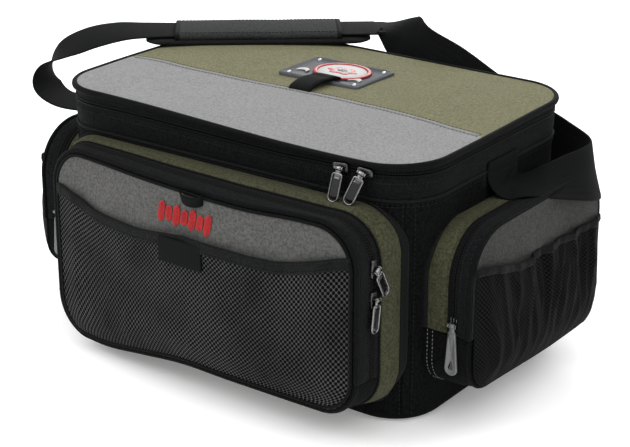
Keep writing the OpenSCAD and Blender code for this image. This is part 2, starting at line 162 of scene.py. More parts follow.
def make_stage():
    bpy.context.scene.view_settings.view_transform = "Standard"
    soft_sun("overhead", (-0.1, 0.12, -1), 1.75, 90)
    area_light("key", (-0.9, -1.6, 1.5), (0, 0, 0.1), 0.9, 15)
    area_light("side", (2.2, -0.4, 2.0), (0.3, 0, 0), 1.2, 6.5)
    area_light("rear", (-0.9, 1.9, 1.1), (0, 0, 0.1), 0.9, 16)
    world = bpy.data.worlds.new("studio")
    world.use_nodes = True
    background = world.node_tree.nodes["Background"]
    background.inputs["Color"].default_value = (1, 1, 1, 1)
    background.inputs["Strength"].default_value = 0.68
    bpy.context.scene.world = world
    mesh = bpy.data.meshes.new("floor")
    reach = 6.0
    mesh.from_pydata(
        [(-reach, -reach, 0), (reach, -reach, 0), (reach, reach, 0), (-reach, reach, 0)], [], [(0, 1, 2, 3)]
    )
    floor = bpy.data.objects.new("floor", mesh)
    bpy.context.scene.collection.objects.link(floor)
    matter = Shade("floor_white", 0.85)
    matter.tone(matter.noise(9.0, 3.0, coords=False), (0.93, 0.93, 0.93), (0.96, 0.96, 0.96))
    matter.set("Emission Color", (1, 1, 1, 1))
    matter.set("Emission Strength", 0.19)
    floor.data.materials.append(matter.material)


# ---------- materials ----------

class Shade:
    """A procedural material while it is being wired up."""

    def __init__(self, name, roughness, metallic=0.0, sheen=0.0, coat=0.0, shine=0.5):
        self.material = bpy.data.materials.new(name)
        self.material.use_nodes = True
        self.nodes, self.links = self.material.node_tree.nodes, self.material.node_tree.links
        self.shader = self.nodes["Principled BSDF"]
        self.set("Roughness", roughness)
        self.set("Metallic", metallic)
        self.set("Sheen Weight", sheen)
        self.set("Sheen Roughness", 0.45)
        self.set("Coat Weight", coat)
        self.set("Specular IOR Level", shine)

    def set(self, socket, value):
        self.shader.inputs[socket].default_value = value

    def add(self, kind, values=(), **settings):
        node = self.nodes.new(kind)
        for key, value in dict(values).items():
            node.inputs[key].default_value = value
        for key, value in settings.items():
            setattr(node, key, value)
        return node

    def maths(self, operation, *terms):
        node = self.add("ShaderNodeMath", operation=operation)
        for socket, value in zip(node.inputs, terms):
            if isinstance(value, (int, float)):
                socket.default_value = value
            else:
                self.links.new(value, socket)
        return node.outputs[0]

    def uv(self):
        """The two UV coordinates, in metres along and across the piece."""
        split = self.add("ShaderNodeSeparateXYZ")
        self.links.new(self.add("ShaderNodeUVMap").outputs["UV"], split.inputs[0])
        return split.outputs["X"], split.outputs["Y"]

    def noise(self, scale, detail, roughness=0.5, coords=True):
        node = self.add("ShaderNodeTexNoise", {"Scale": scale, "Detail": detail, "Roughness": roughness})
        if coords:
            self.links.new(self.add("ShaderNodeTexCoord").outputs["Object"], node.inputs["Vector"])
        return node.outputs["Fac"]

    def spread(self, value, **ends):
        node = self.add("ShaderNodeMapRange", {key.replace("_", " "): end for key, end in ends.items()})
        self.links.new(value, node.inputs["Value"])
        return node.outputs["Result"]

    def tone(self, factor, dark, light):
        """Colours the shader between two tones by a factor."""
        mix = self.add("ShaderNodeMix", data_type="RGBA")
        mix.inputs["A"].default_value = (*dark, 1)
        mix.inputs["B"].default_value = (*light, 1)
        self.links.new(factor, mix.inputs["Factor"])
        self.links.new(mix.outputs["Result"], self.shader.inputs["Base Color"])

    def relief(self, height, strength, distance):
        bump = self.add("ShaderNodeBump", {"Strength": strength, "Distance": distance})
        self.links.new(height, bump.inputs["Height"])
        self.links.new(bump.outputs["Normal"], self.shader.inputs["Normal"])
        return self.material

    def wave(self, value, pitch):
        return self.maths("SINE", self.maths("MULTIPLY", value, 2 * math.pi / pitch))


def fabric(name, dark, light, pitch=0.0014, bump=0.5, roughness=0.88, sheen=0.02, shine=0.12, grain=0.6):
    """Woven cloth: over-and-under threads, slubs, and a grain of lighter and darker yarns."""
    shade = Shade(name, roughness, sheen=sheen, shine=shine)
    u, v = shade.uv()
    both = shade.maths("MULTIPLY", shade.wave(u, pitch), shade.wave(v, pitch))
    weave = shade.maths("MULTIPLY_ADD", both, 0.5, 0.5)
    cloudy = shade.noise(24.0, 4.0, 0.6)
    yarns = shade.spread(shade.noise(430.0, 2.0, 0.8), From_Min=0.38, From_Max=0.62)
    threads = shade.maths("MULTIPLY", weave, 0.75 - grain * 0.6)
    threads = shade.maths("MULTIPLY_ADD", yarns, grain, threads)
    shade.tone(shade.maths("MULTIPLY_ADD", cloudy, 0.28, threads), dark, light)
    return shade.relief(shade.maths("ADD", weave, yarns), bump, 0.0004)


def net(name, thread, hole, pitch=0.0046, gap=0.44):
    """Knitted net: rows of round holes, each row shifted by half a pitch."""
    shade = Shade(name, 0.75, shine=0.05)
    u, v = shade.uv()
    squares = []
    for operation in ("ADD", "SUBTRACT"):
        way = shade.maths("MULTIPLY", shade.maths(operation, u, v), 1 / pitch)
        offset = shade.maths("SUBTRACT", shade.maths("FRACT", way), 0.5)
        squares.append(shade.maths("MULTIPLY", offset, offset))
    away = shade.maths("SQRT", shade.maths("ADD", *squares))
    edge = shade.spread(away, From_Min=gap - 0.05, From_Max=gap + 0.05)
    cloudy = shade.maths("MULTIPLY", edge, shade.noise(16.0, 3.0))
    shade.tone(shade.maths("MULTIPLY", cloudy, 1.8), hole, thread)
    return shade.relief(edge, 0.8, 0.0007)


def webbing(name, dark, light, rib=0.0024):
    """Heavy woven tape: ribs across its width, with a herringbone shimmer."""
    shade = Shade(name, 0.75, shine=0.06)
    u, v = shade.uv()
    run = shade.maths("ADD", u, shade.maths("PINGPONG", v, rib * 1.5))
    height = shade.maths("MULTIPLY_ADD", shade.wave(run, rib), 0.5, 0.5)
    shade.tone(height, dark, light)
    return shade.relief(height, 0.7, 0.0005)


def toothed(name, dark, light, pitch=0.0024):
    """The coil of a zip seen through its tape: close ridges across its length."""
    shade = Shade(name, 0.6, shine=0.08)
    height = shade.maths("MULTIPLY_ADD", shade.wave(shade.uv()[0], pitch), 0.5, 0.5)
    shade.tone(height, dark, light)
    return shade.relief(height, 1.0, 0.0006)


def hard(name, dark, light, roughness, metallic, scale=260.0, bump=0.12, coat=0.0):
    """Metal, paint or moulded rubber: mottled tone, fine scuffs and uneven gloss."""
    shade = Shade(name, roughness, metallic, coat=coat)
    mottle = shade.noise(scale, 5.0, 0.65)
    shade.tone(mottle, dark, light)
    gloss = shade.spread(mottle, To_Min=max(0.05, roughness - 0.12), To_Max=roughness + 0.15)
    shade.links.new(gloss, shade.shader.inputs["Roughness"])
    return shade.relief(mottle, bump, 0.0002)


# ---------- mesh building ----------

def finish_piece(mesh, name, body, look, slot=None):
    """Links a mesh as a named piece that rides on a body and wears a look."""
    piece = bpy.data.objects.new(name, mesh)
    bpy.context.scene.collection.objects.link(piece)
    for polygon in mesh.polygons:
        polygon.use_smooth = True
    material, usual_slot = LOOKS[look]
    mesh.materials.append(material)
    if body:
        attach(piece, body)
    slot or usual_slot
    return piece


def running(points, loop):
    """Distances in metres along a line of points, one more than the points if it closes."""
    total = [0.0]
    for i in range(len(points) if loop else len(points) - 1):
        total.append(total[-1] + (points[(i + 1) % len(points)] - points[i]).length * MM)
    return total


def surface(name, rows, body, look, slot=None, loop_u=False, loop_v=False, caps=False):
    """A smooth quad sheet through rows of points, with UVs in metres."""
    high_v, wide_u = len(rows), len(rows[0])
    us = running(rows[high_v // 2], loop_u)
    vs = running([row[wide_u // 2] for row in rows], loop_v)
    faces, uvs = [], []
    for j in range(high_v if loop_v else high_v - 1):
        for i in range(wide_u if loop_u else wide_u - 1):
            i2, j2 = (i + 1) % wide_u, (j + 1) % high_v
            faces.append((j * wide_u + i, j * wide_u + i2, j2 * wide_u + i2, j2 * wide_u + i))
            uvs += [(us[i], vs[j]), (us[i + 1], vs[j]), (us[i + 1], vs[j + 1]), (us[i], vs[j + 1])]
    if caps:
        for i in (0, wide_u - 1):
            faces.append(tuple(j * wide_u + i for j in range(high_v)))
            uvs += [(us[i], vs[j]) for j in range(high_v)]
    mesh = bpy.data.meshes.new(name)
    mesh.from_pydata([p * MM for row in rows for p in row], [], faces)
    layer = mesh.uv_layers.new(name="UVMap")
    for loop, uv in zip(layer.data, uvs):
        loop.uv = uv
    if loop_v or caps:
        shape = bmesh.new()
        shape.from_mesh(mesh)
        bmesh.ops.recalc_face_normals(shape, faces=shape.faces)
        shape.to_mesh(mesh)
        shape.free()
    return finish_piece(mesh, name, body, look, slot)


def sweep(name, path, section, body, look, slot=None, warp=None, loop=False, closed=True):
    """Carries a section along a path of (place, outward, depth) frames.
    The section is a list of (depth, out), or a function of the place that gives one."""
    columns = []
    for place, outward, depth in path:
        shape = section(place) if callable(section) else section
        points = [place + depth * d + outward * o for d, o in shape]
        columns.append([warp(p) if warp else p for p in points])
    rows = [list(row) for row in zip(*columns)]
    return surface(name, rows, body, look, slot, loop_u=loop, loop_v=closed, caps=closed and not loop)


def circle(count):
    """Angles all the way round, evenly spaced."""
    return [2 * math.pi * k / count for k in range(count)]


def round_section(depth, out, radius, sides=10):
    return [(depth + radius * math.cos(a), out + radius * math.sin(a)) for a in circle(sides)]


def band_section(start, end, thick, puff=0.0, steps=8):
    """A strip of cloth from one depth to another: its outer face bulges by puff."""
    outer = []
    for k in range(steps + 1):
        t = k / steps
        outer.append((start + (end - start) * t, puff * math.sin(math.pi * t) ** 0.8))
    inner = [(start + (end - start) * t, -thick) for t in (1.0, 0.66, 0.33, 0.0)]
    return outer + inner


def arcs_outline(arcs, step=5.0, even=0):
    """((u, v), (outward u, outward v)) pairs round a closed shape of corner arcs and straight runs.
    Points stand about step apart, or there are even of them to each arc and each straight run."""
    found = []
    for k, (cu, cv, r, a0, a1) in enumerate(arcs):
        count = even or max(6, int(math.radians(abs(a1 - a0)) * r / (0.7 * step)))
        for i in range(count + 1):
            a = math.radians(a0 + (a1 - a0) * i / count)
            found.append(((cu + r * math.cos(a), cv + r * math.sin(a)), (math.cos(a), math.sin(a))))
        nu, nv, nr, n0, _ = arcs[(k + 1) % len(arcs)]
        end = (nu + nr * math.cos(math.radians(n0)), nv + nr * math.sin(math.radians(n0)))
        begin, outward = found[-1]
        pieces = even or int(math.hypot(end[0] - begin[0], end[1] - begin[1]) / step)
        for i in range(1, max(1, pieces)):
            t = i / pieces
            found.append(((begin[0] + (end[0] - begin[0]) * t, begin[1] + (end[1] - begin[1]) * t),
                          outward))
    return found


def plan_outline(grow):
    hu, hv, r = HALF_W - CORNER, HALF_D - CORNER, CORNER + grow
    return arcs_outline([(hu, -hv, r, -90, 0), (hu, hv, r, 0, 90), (-hu, hv, r, 90, 180),
                         (-hu, -hv, r, 180, 270)])


def plan_path(grow, z):
    return [(Vector((u, v, z)), Vector((nu, nv, 0)), UP) for (u, v), (nu, nv) in plan_outline(grow)]


def pocket_outline(half, base, top, rt, rb):
    return arcs_outline([
        (half - rb, base + rb, rb, -90, 0), (half - rt, top - rt, rt, 0, 90),
        (rt - half, top - rt, rt, 90, 180), (rb - half, base + rb, rb, 180, 270),
    ])


def arch(outline, cut, half):
    """The part of a pocket's outline above a height, from its right foot to its left foot."""
    kept = [item for item in outline if item[0][1] > cut + 1]
    return [((half, cut), (1, 0)), *kept, ((-half, cut), (-1, 0))]


def trough(outline, cut, half):
    """The part of a pocket's outline below a height, from its left end to its right end."""
    first = next(i for i, item in enumerate(outline) if item[0][1] > cut)
    turned = outline[first:] + outline[:first]
    kept = [item for item in turned if item[0][1] < cut - 1]
    return [((-half, cut), (-1, 0)), *kept, ((half, cut), (1, 0))]


def front_path(outline):
    out = Vector((0, -1, 0))
    return [(Vector((u, -HALF_D, v)), Vector((nu, 0, nv)), out) for (u, v), (nu, nv) in outline]


def side_path(outline, sign):
    out = Vector((sign, 0, 0))
    return [(Vector((sign * HALF_W, u, v)), Vector((0, nu, nv)), out) for (u, v), (nu, nv) in outline]


def half_width(z, half, base, top, rt, rb):
    """Half the width of a pocket's outline at a height."""
    if z < base + rb:
        return half - rb + math.sqrt(max(0.0, rb * rb - (base + rb - z) ** 2))
    if z > top - rt:
        return half - rt + math.sqrt(max(0.0, rt * rt - (z - top + rt) ** 2))
    return half


def face_rows(half, base, top, rt, rb, z0, z1, place, across=64, up=36):
    """Rows of points over a pocket's face between two heights, which may be functions of the
    position along it. place(s, z, edge) gives the point; edge is 0 on the rim and 1 well inside."""
    rows = []
    for j in range(up + 1):
        row = []
        for i in range(across + 1):
            u = 2 * i / across - 1
            u = math.sin(u * math.pi / 2) * 0.5 + u * 0.5
            s = u * half
            for _ in range(4):
                a = z0(s) if callable(z0) else z0
                b = z1(s) if callable(z1) else z1
                z = a + (b - a) * j / up
                s = u * half_width(z, half, base, top, rt, rb)
            rim = half_width(z, half, base, top, rt, rb) - abs(s)
            edge = smooth(0, 26, min(rim, z - base, top - z))
            row.append(place(s, z, edge))
        rows.append(row)
    return rows


def stitches(name, points, normals, body, look, slot=None, pitch=4.4, length=3.0, girth=0.5, loop=False):
    """Raised thread dashes along a line of points."""
    if loop:
        points, normals = [*points, points[0]], [*normals, normals[0]]
    verts, faces = [], []
    travelled, due = 0.0, pitch / 2
    for p, q, n in zip(points, points[1:], normals):
        run = (q - p).length
        while due < travelled + run:
            centre = p.lerp(q, (due - travelled) / run) + n * 0.25 * girth
            along = (q - p).normalized()
            side = along.cross(n).normalized()
            rise = side.cross(along)
            first = len(verts)
            for share, width in ((-0.5, 0.25), (-0.36, 0.8), (0, 1.0), (0.36, 0.8), (0.5, 0.25)):
                for k in range(5):
                    a = 2 * math.pi * k / 5
                    off = side * math.cos(a) * girth * width + rise * math.sin(a) * girth * width
                    verts.append((centre + along * share * length + off) * MM)
            for ring in range(4):
                for k in range(5):
                    a, b = first + 5 * ring + k, first + 5 * ring + (k + 1) % 5
                    faces.append((a, b, b + 5, a + 5))
            faces += [tuple(first + k for k in (4, 3, 2, 1, 0)), tuple(first + 20 + k for k in range(5))]
            due += pitch
        travelled += run
    mesh = bpy.data.meshes.new(name)
    mesh.from_pydata(verts, [], faces)
    return finish_piece(mesh, name, body, look, slot)


def stitch_path(name, path, depth, out, body, look, slot=None, warp=None, **more):
    points = [place + d * depth + n * out for place, n, d in path]
    points = [warp(p) if warp else p for p in points]
    return stitches(name, points, [n for _, n, _ in path], body, look, slot, **more)


def rounded_block(name, corners, body, look, slot=None, radius=1.0):
    """A bevelled block between two corners, for moulded and folded details."""
    shape = bmesh.new()
    bmesh.ops.create_cube(shape, size=1)
    a, b = Vector(corners[0]), Vector(corners[1])
    for v in shape.verts:
        v.co = Vector([a[k] + (b[k] - a[k]) * (v.co[k] + 0.5) for k in range(3)]) * MM
    bmesh.ops.bevel(shape, geom=shape.edges[:], offset=radius * MM, segments=3, affect="EDGES", profile=0.6)
    mesh = bpy.data.meshes.new(name)
    shape.to_mesh(mesh)
    shape.free()
    return finish_piece(mesh, name, body, look, slot)


# ---------- how the soft shapes lean and sag ----------

def rim_rise(p):
    """The lid's edge bows up at the left of the front and droops to the right."""
    share = smooth(110, -60, p.y)
    return share * (-0.2 - 3.2 * math.sin(math.pi * (p.x + 25) / 260))


def coil_rise(p):
    """The zip follows half of the lid's bow, and is level where the sliders are parked."""
    return 0.5 * rim_rise(p) * smooth(112, 60, p.x)


def rim_warp(p):
    share = smooth(ZIP_Z, TOP_Z, p.z)
    sag = smooth(ZIP_Z - 26, ZIP_Z - 4, p.z)
    return p + Vector((0, 0, share * rim_rise(p) + (1 - share) * sag * coil_rise(p)))


def front_warp(p):
    """The front pocket is fuller on the right, and its floor climbs away from the body."""
    depth = -HALF_D - p.y
    if depth <= 0:
        return p
    full = 1 - 0.33 * smooth(60, -FRONT_HALF, p.x)
    share = depth / FRONT_DEPTH
    near_floor = smooth(110, FRONT_BASE + 6, p.z)
    lift = (1 - share) * -7 + share * (-10 + 17 * smooth(-130, 20, p.x))
    crest = 3.6 * smooth(FRONT_SPLIT + 5, FRONT_DEPTH, depth) * smooth(60, 140, p.x) * smooth(120, 190, p.z)
    tuck = 18 * share * smooth(-60, -FRONT_HALF, p.x)
    wobble = 0.9 * ripple(p, 46, 3.1)
    return Vector((p.x + tuck, -HALF_D - depth * full + 0.4 * wobble,
                   p.z + near_floor * lift + crest + 0.5 * wobble))


def side_warp(p):
    """A side pocket's floor drops towards the back and its top is a little proud."""
    depth = abs(p.x) - HALF_W
    if depth <= 0:
        return p
    share = depth / SIDE_DEPTH
    near_floor = smooth(95, SIDE_BASE + 6, p.z)
    lift = near_floor * (6 * smooth(40, -100, p.y) - 3 * (1 - share))
    crest = share * 3 * smooth(110, 170, p.z)
    wobble = 0.9 * ripple(p, 42, 9.3)
    return Vector((p.x + 0.4 * wobble, p.y + (0.04 * share) * p.y, p.z + lift + crest + 0.5 * wobble))


# ---------- the main compartment ----------

def wall_bulge(p, n, z):
    """How far the compartment's cloth wall stands out from its plan line."""
    flat_x = smooth(HALF_W, HALF_W - 110, abs(p.x))
    flat_y = smooth(HALF_D, HALF_D - 90, abs(p.y))
    middle = flat_x if abs(n.y) > abs(n.x) else flat_y
    belly = 3.0 * middle * math.sin(math.pi * min(1, max(0, z / ZIP_Z)))
    crease = 1.1 * ripple((p.x, p.y, z), 58) + 0.5 * ripple((p.x, p.y, z), 21, 4)
    return belly + crease * smooth(0, 25, z) * smooth(ZIP_Z, ZIP_Z - 30, z)


def make_shell():
    rows = []
    toe = 11.0
    path = plan_path(0, 0)
    for shrink in (0.02, 0.5, 0.9):
        rows.append([Vector((p.x * shrink, p.y * shrink, 0.0)) for p, n, d in path])
    heights = [toe * (1 - math.cos(math.pi / 2 * k / 6)) for k in range(7)]
    heights += [toe + (ZIP_Z - 1 - toe) * k / 44 for k in range(1, 45)]
    for z in heights:
        inset = toe - math.sqrt(max(0, toe * toe - (toe - z) ** 2)) if z < toe else 0
        rows.append([
            rim_warp(p + n * (wall_bulge(p, n, z) - inset) + d * z) for p, n, d in path
        ])
    shell = surface("bag_shell", rows, "bag", "black", loop_u=True)
    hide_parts("outer_shell")
    for turn in (-45, 45, 135, 225):
        a = math.radians(turn)
        n = Vector((math.cos(a), math.sin(a), 0))
        hub = Vector((math.copysign(HALF_W - CORNER, n.x), math.copysign(HALF_D - CORNER, n.y), 0))
        line = [(hub + n * (CORNER + 0.4) + Vector((0, 0, z)), n, Vector((-n.y, n.x, 0))) for z in range(8,
                int(ZIP_Z) - 14, 6)]
        sweep(f"corner_welt_{turn % 360}", line, [(-4, -1), (-3, 0.5), (-1.2, 1.0), (1.2, 1.0), (3, 0.5),
                                                  (4, -1)],
              "bag", "black", warp=rim_warp)
        for side in (-5.5, 5.5):
            stitch_path(f"corner_stitch_{turn % 360}_{'a' if side < 0 else 'b'}", line, side, 0.1, "bag",
                        "thread_dark", warp=rim_warp)


def make_interior():
    rows = []
    inner = plan_path(-8, 0)
    floor_z = 6.5
    for z in (ZIP_Z - 5, ZIP_Z - 60, ZIP_Z - 120, floor_z + 12, floor_z + 4, floor_z + 0.8, floor_z):
        shrink = 3.0 * smooth(floor_z + 12, floor_z, z)
        rows.append([rim_warp(p - n * shrink + d * (z + 0.6 * ripple(p, 60))) for p, n, d in inner])
    for share in (0.8, 0.4, 0.02):
        rows.append([Vector((p.x * share, p.y * share, floor_z + 0.8 * ripple(p * share, 50))) for p, n,
                     d in inner])
    liner = surface("lining_cloth", rows, "bag", "lining", loop_u=True)
    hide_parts("lining", "wall_foam", "base_board")
    section = [(-5, 0.4), (-3, 1.0), (0, 0.8), (1.3, -1.5), (1.5, -4.5), (1.3, -7.5), (0, -9.4),
               (-3, -9.8), (-5, -9)]
    rim = sweep("mouth_binding", plan_path(0, ZIP_Z - 1.8), section, "bag", "binding",
                warp=rim_warp, loop=True)
    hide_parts("rim_binding")


def front_and_sides(path):
    """The part of the plan outline that the zip runs along, in one line from back corner to back corner."""
    keep = HALF_W - CORNER
    first = next(i for i, (p, n, d) in enumerate(path) if p.y > 0 and abs(p.x) < keep - 1)
    turned = path[first:] + path[:first]
    return [item for item in turned if not (item[0].y > 0 and abs(item[0].x) < keep - 1)]


def back_line(path):
    keep = HALF_W - CORNER
    return [item for item in path if item[0].y > 0 and abs(item[0].x) < keep + 1]


def make_main_zip():
    run = front_and_sides(plan_path(0.2, ZIP_Z))
    lower = sweep("zip_band_lower", run, band_section(-23, -0.5, 0.2, 1.5), "bag", "tape", warp=rim_warp)
    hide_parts("lower_zip_tape")
    upper = sweep("zip_band_upper", run, band_section(0.5, 11, 0.2, 1.3), "lid", "tape", warp=rim_warp)
    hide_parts("lid_zip_tape")
    coil = [(0.25, 0.6), (0.5, 1.5), (1.4, 2.0), (2.3, 1.6), (2.6, 0.6)]
    flipped = [(-d, o) for d, o in coil]
    sweep("main_coil_upper", run, coil, "lid", "coil", warp=rim_warp, closed=False)
    sweep("main_coil_lower", run, flipped, "bag", "coil", warp=rim_warp, closed=False)
    back = back_line(plan_path(0.2, ZIP_Z))
    fold = sweep("hinge_fold", back, band_section(-23, 11, 0.2, 1.2, steps=16), None, "tape", warp=rim_warp)
    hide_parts("hinge_fabric")
    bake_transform(fold)
    whole = plan_path(0.2, ZIP_Z)
    sweep("seam_welt", whole, round_section(-23.5, 0.8, 1.5), "bag", "binding", warp=rim_warp, loop=True)
    for k, depth in enumerate((-26.2, -28.6)):
        stitch_path(f"seam_stitch_{k}", whole, depth, 0.8, "bag", "thread_dark", warp=rim_warp, loop=True)
    for k, depth in enumerate((5.5, -8)):
        body = "lid" if depth > 0 else "bag"
        stitch_path(f"tape_stitch_{k}", run, depth, 1.35, body, "thread_dark", warp=rim_warp, pitch=3.6,
                    length=2.4)


# ---------- the lid ----------

def lid_height(x, y):
    """The lid's cloth: crowned in the middle, dished a little behind the badge, drooping at its corners."""
    hx, hy = x / (HALF_W + 1), y / (HALF_D + 1)
    crown = 4.2 * (1 - hx ** 4) * (1 - abs(hy) ** 3)
    waves = 1.2 * ripple((x, y, 0), 130, 5) + 0.35 * ripple((x, y, 0), 38, 2)
    edge = max(abs(hx), abs(hy))
    p = Vector((x, y, TOP_Z))
    return LID_Z - 0.6 + crown + waves * smooth(1.0, 0.8, edge) + rim_rise(p) * smooth(0.55, 1.0, edge)


def lid_rows(y0, y1, across=70, up=40):
    rows = []
    for j in range(up + 1):
        y = y0 + (y1 - y0) * j / up
        width = half_width(y + HALF_D + 1.2, HALF_W + 1.2, 0, 2 * HALF_D + 2.4, CORNER + 1.2, CORNER + 1.2)
        row = []
        for i in range(across + 1):
            x = width * math.sin((2 * i / across - 1) * math.pi / 2 * 0.999)
            row.append(Vector((x, y, lid_height(x, y))))
        rows.append(row)
    return rows


def make_lid():
    edge = HALF_D + 1.1
    grey = surface("lid_grey", lid_rows(-edge, SEAM_Y, up=34), "lid", "grey")
    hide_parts("lid_grey_panel")
    olive = surface("lid_olive", lid_rows(SEAM_Y, edge, up=46), "lid", "olive")
    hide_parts("lid_olive_panel")
    liner = surface("lid_liner", [
        [Vector((p.x, p.y, ZIP_Z + 2 + 0.7 * ripple(p, 70, 8) + coil_rise(p))) for p in row]
        for row in lid_rows(-HALF_D + 2, HALF_D - 2, up=30)
    ], "lid", "lining")
    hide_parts("lid_lining", "lid_foam")
    pipe = sweep("lid_piping_cord", plan_path(2.4, TOP_Z - 3.2), round_section(0, 0, 2.9, 12), "lid",
                 "piping", warp=rim_warp, loop=True)
    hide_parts("lid_piping")
    sweep("lid_piping_flange", plan_path(0.6, TOP_Z - 6.4), band_section(-2.2, 2.0, 0.4, 1.6, 4), "lid",
          "piping", warp=rim_warp, loop=True)
    seam = [Vector((x, SEAM_Y, lid_height(x, SEAM_Y))) for x in range(-195, 196, 5)]
    frames = [(p, Vector((0, 1, 0)), UP) for p in seam]
    sweep("lid_seam_fold", frames, [(-0.3, -1.2), (0.5, -1.2), (0.7, -0.2), (0.5, 2.4), (-0.3, 2.8)],
          "lid", "grey")
    for k, (shift, thread) in enumerate(((-2.6, "thread_grey"), (4.6, "thread_olive"))):
        points = [Vector((p.x, p.y + shift, lid_height(p.x, p.y + shift))) for p in seam]
        stitches(f"lid_seam_stitch_{k}", points, [UP] * len(points), "lid", thread, "grey_fabric",
                 pitch=4, length=2.8, girth=0.4)


def make_badge():
    a, b = low("badge"), high("badge")
    base = lid_height(0, (a.y + b.y) / 2)
    tilt = (lid_height(0, b.y) - lid_height(0, a.y)) / (b.y - a.y)

    def plate(inset, rise, corner=5):
        outline = arcs_outline([
            (b.x - inset - corner, a.y + inset + corner, corner, -90, 0),
            (b.x - inset - corner, b.y - inset - corner, corner, 0, 90),
            (a.x + inset + corner, b.y - inset - corner, corner, 90, 180),
            (a.x + inset + corner, a.y + inset + corner, corner, 180, 270),
        ], even=14)
        mid = (a.y + b.y) / 2
        return [Vector((u, v, base + tilt * (v - mid) + rise)) for (u, v), n in outline]

    centre = Vector((0, (a.y + b.y) / 2, base))
    rows = [plate(0, -3), plate(0, 1.6), plate(0.5, 2.3), plate(1.4, 2.6), plate(3.6, 2.6),
            plate(4.4, 2.2), plate(5, 1.7)]
    rows += [[centre + (p - centre) * s for p in plate(5, 1.7)] for s in (0.6, 0.02)]
    frame_piece = surface("badge_plate", rows, "lid", "badge", loop_u=True)
    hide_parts("badge")
    edge = plate(2.5, 2.75)
    stitches("badge_stitch", edge, [UP] * len(edge), "lid", "thread_pale",
             pitch=3.4, length=2.2, girth=0.4, loop=True)
    for k, (sx, sy) in enumerate(((-1, -1), (1, -1), (1, 1), (-1, 1))):
        hub = centre + Vector((sx * 37.5, sy * 25, 1.8 + tilt * sy * 25))
        ring = [(hub, Vector((math.cos(t), math.sin(t), 0)), UP) for t in circle(16)]
        sweep(f"badge_rivet_{k}", ring, [(0, 2.4), (0.8, 2.2), (1.2, 1.4), (1.3, 0.02)], "lid", "rivet",
              loop=True, closed=False)
    hub = centre + Vector((4, 4, 1.8))
    ring = [(hub, Vector((1.18 * math.cos(t), math.sin(t), 0)), UP)
            for t in circle(64)]
    rim = sweep("emblem_rim", ring, [(0, 25), (1.2, 24.6), (1.5, 23.6), (1.5, 22), (1.2, 21.2), (0, 21)],
                "lid",
                "red", loop=True)
    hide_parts("badge_emblem")
    sweep("emblem_field", ring, [(0, 21.2), (0.6, 20.8), (0.8, 12), (0.8, 0.02)], "lid", "white",
          loop=True, closed=False)
    for k, (size, look) in enumerate(((11.5, "red"), (7.5, "white"), (4.2, "badge_dark"))):
        lobes = [(hub + Vector((0, 0, 0.7 + 0.35 * k)),
                  Vector((1.3 * math.cos(t), 0.8 * math.sin(t), 0)) * (1 + 0.14 * math.cos(6 * t)),
                  UP) for t in circle(72)]
        sweep(f"emblem_rosette_{k}", lobes, [(0, size), (0.4, size - 0.4), (0.5, size - 1.4), (0.5, 0.02)],
              "lid",
              look, loop=True, closed=False)
    for k, side in enumerate((-1, 1)):
        scroll = []
        for i in range(17):
            t = i / 16
            scroll.append((centre + Vector((side * (24 + 12 * t), -13 + 4 * math.sin(3.1 * t), 2.0)),
                           Vector((0, 1, 0)), UP))
        sweep(f"emblem_scroll_{k}", scroll, [(0, -3.4), (0.5, -3.0), (0.7, 0), (0.5, 3.0), (0, 3.4)],
              "lid", "white")


def make_badge_loop():
    a, b = low("badge_loop"), high("badge_loop")
    middle, half, rise = (a.y + b.y) / 2, (b.y - a.y) / 2, b.z - a.z
    line = []
    for k in range(33):
        s = k / 32 * 2 - 1
        y = middle + s * half
        dome = rise * 0.5 * math.cos(s * math.pi / 2) ** 0.75
        z = lid_height(0, y) + dome + (3.4 if y > low("badge").y else 0.8) * smooth(0.2, 1, abs(s))
        line.append((Vector((5 + 1.5 * s, y, z)), Vector((1, 0, 0)), Vector((0, -0.1 * s, 1))))
    strap = sweep("badge_webbing", line, [(-0.8, -12), (0.8, -12), (1.0, -6), (1.0, 6), (0.8, 12),
                                          (-0.8, 12), (-1.0, 0)],
                  "lid", "webbing")
    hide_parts("badge_loop")


# ---------- the front pocket ----------

def recess(along, half):
    """How far the body's rounded corner falls back from a face, at a place along that face."""
    over = min(CORNER - 1, max(0.0, abs(along) - (half - CORNER)))
    return CORNER - math.sqrt(CORNER * CORNER - over * over)


def body_recess(p):
    return recess(p.x, HALF_W)


def root_section(fall):
    """The black binding that closes a pocket's gusset against the body, which falls back at its corners."""
    back, front = -fall - 2, 1.5 - 2.5 * smooth(0, 12, fall)
    return [(back, 2.0), (back + 0.4 * (front - back), 3.4), (front - 0.6, 3.6), (front, 3.0),
            (front, 1.4), (back, 0.4)]


def zip_tapes(tag, flap, path, depths, swells, warp):
    """The two zip tapes of a pocket: one on the bag and one on the flap, from the gusset to the panel."""
    start, split, end = depths
    tape = sweep(tag + "_tape_fixed", path, band_section(start, split - 0.4, 1.2, swells[0]),
                 "bag", "tape", warp=warp)
    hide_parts(tag + "_zip_tape")
    tape = sweep(tag + "_tape_flap", path, band_section(split + 0.4, end, 1.2, swells[1]),
                 flap, "tape", warp=warp)
    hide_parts(tag + "_flap_tape")


def zip_coil(tag, flap, path, split, warp):
    """The coil of a pocket's zip: one half on the bag and one on the flap."""
    section = ((0.2, 0.2), (0.4, 1.2), (1.3, 1.7), (2.2, 1.2), (2.6, 0.2))
    for half, way, body in (("flap", 1, flap), ("fixed", -1, "bag")):
        coil = [(split + way * away, out) for away, out in section]
        sweep(f"{tag}_coil_{half}", path, coil, body, "coil", warp=warp, closed=False)


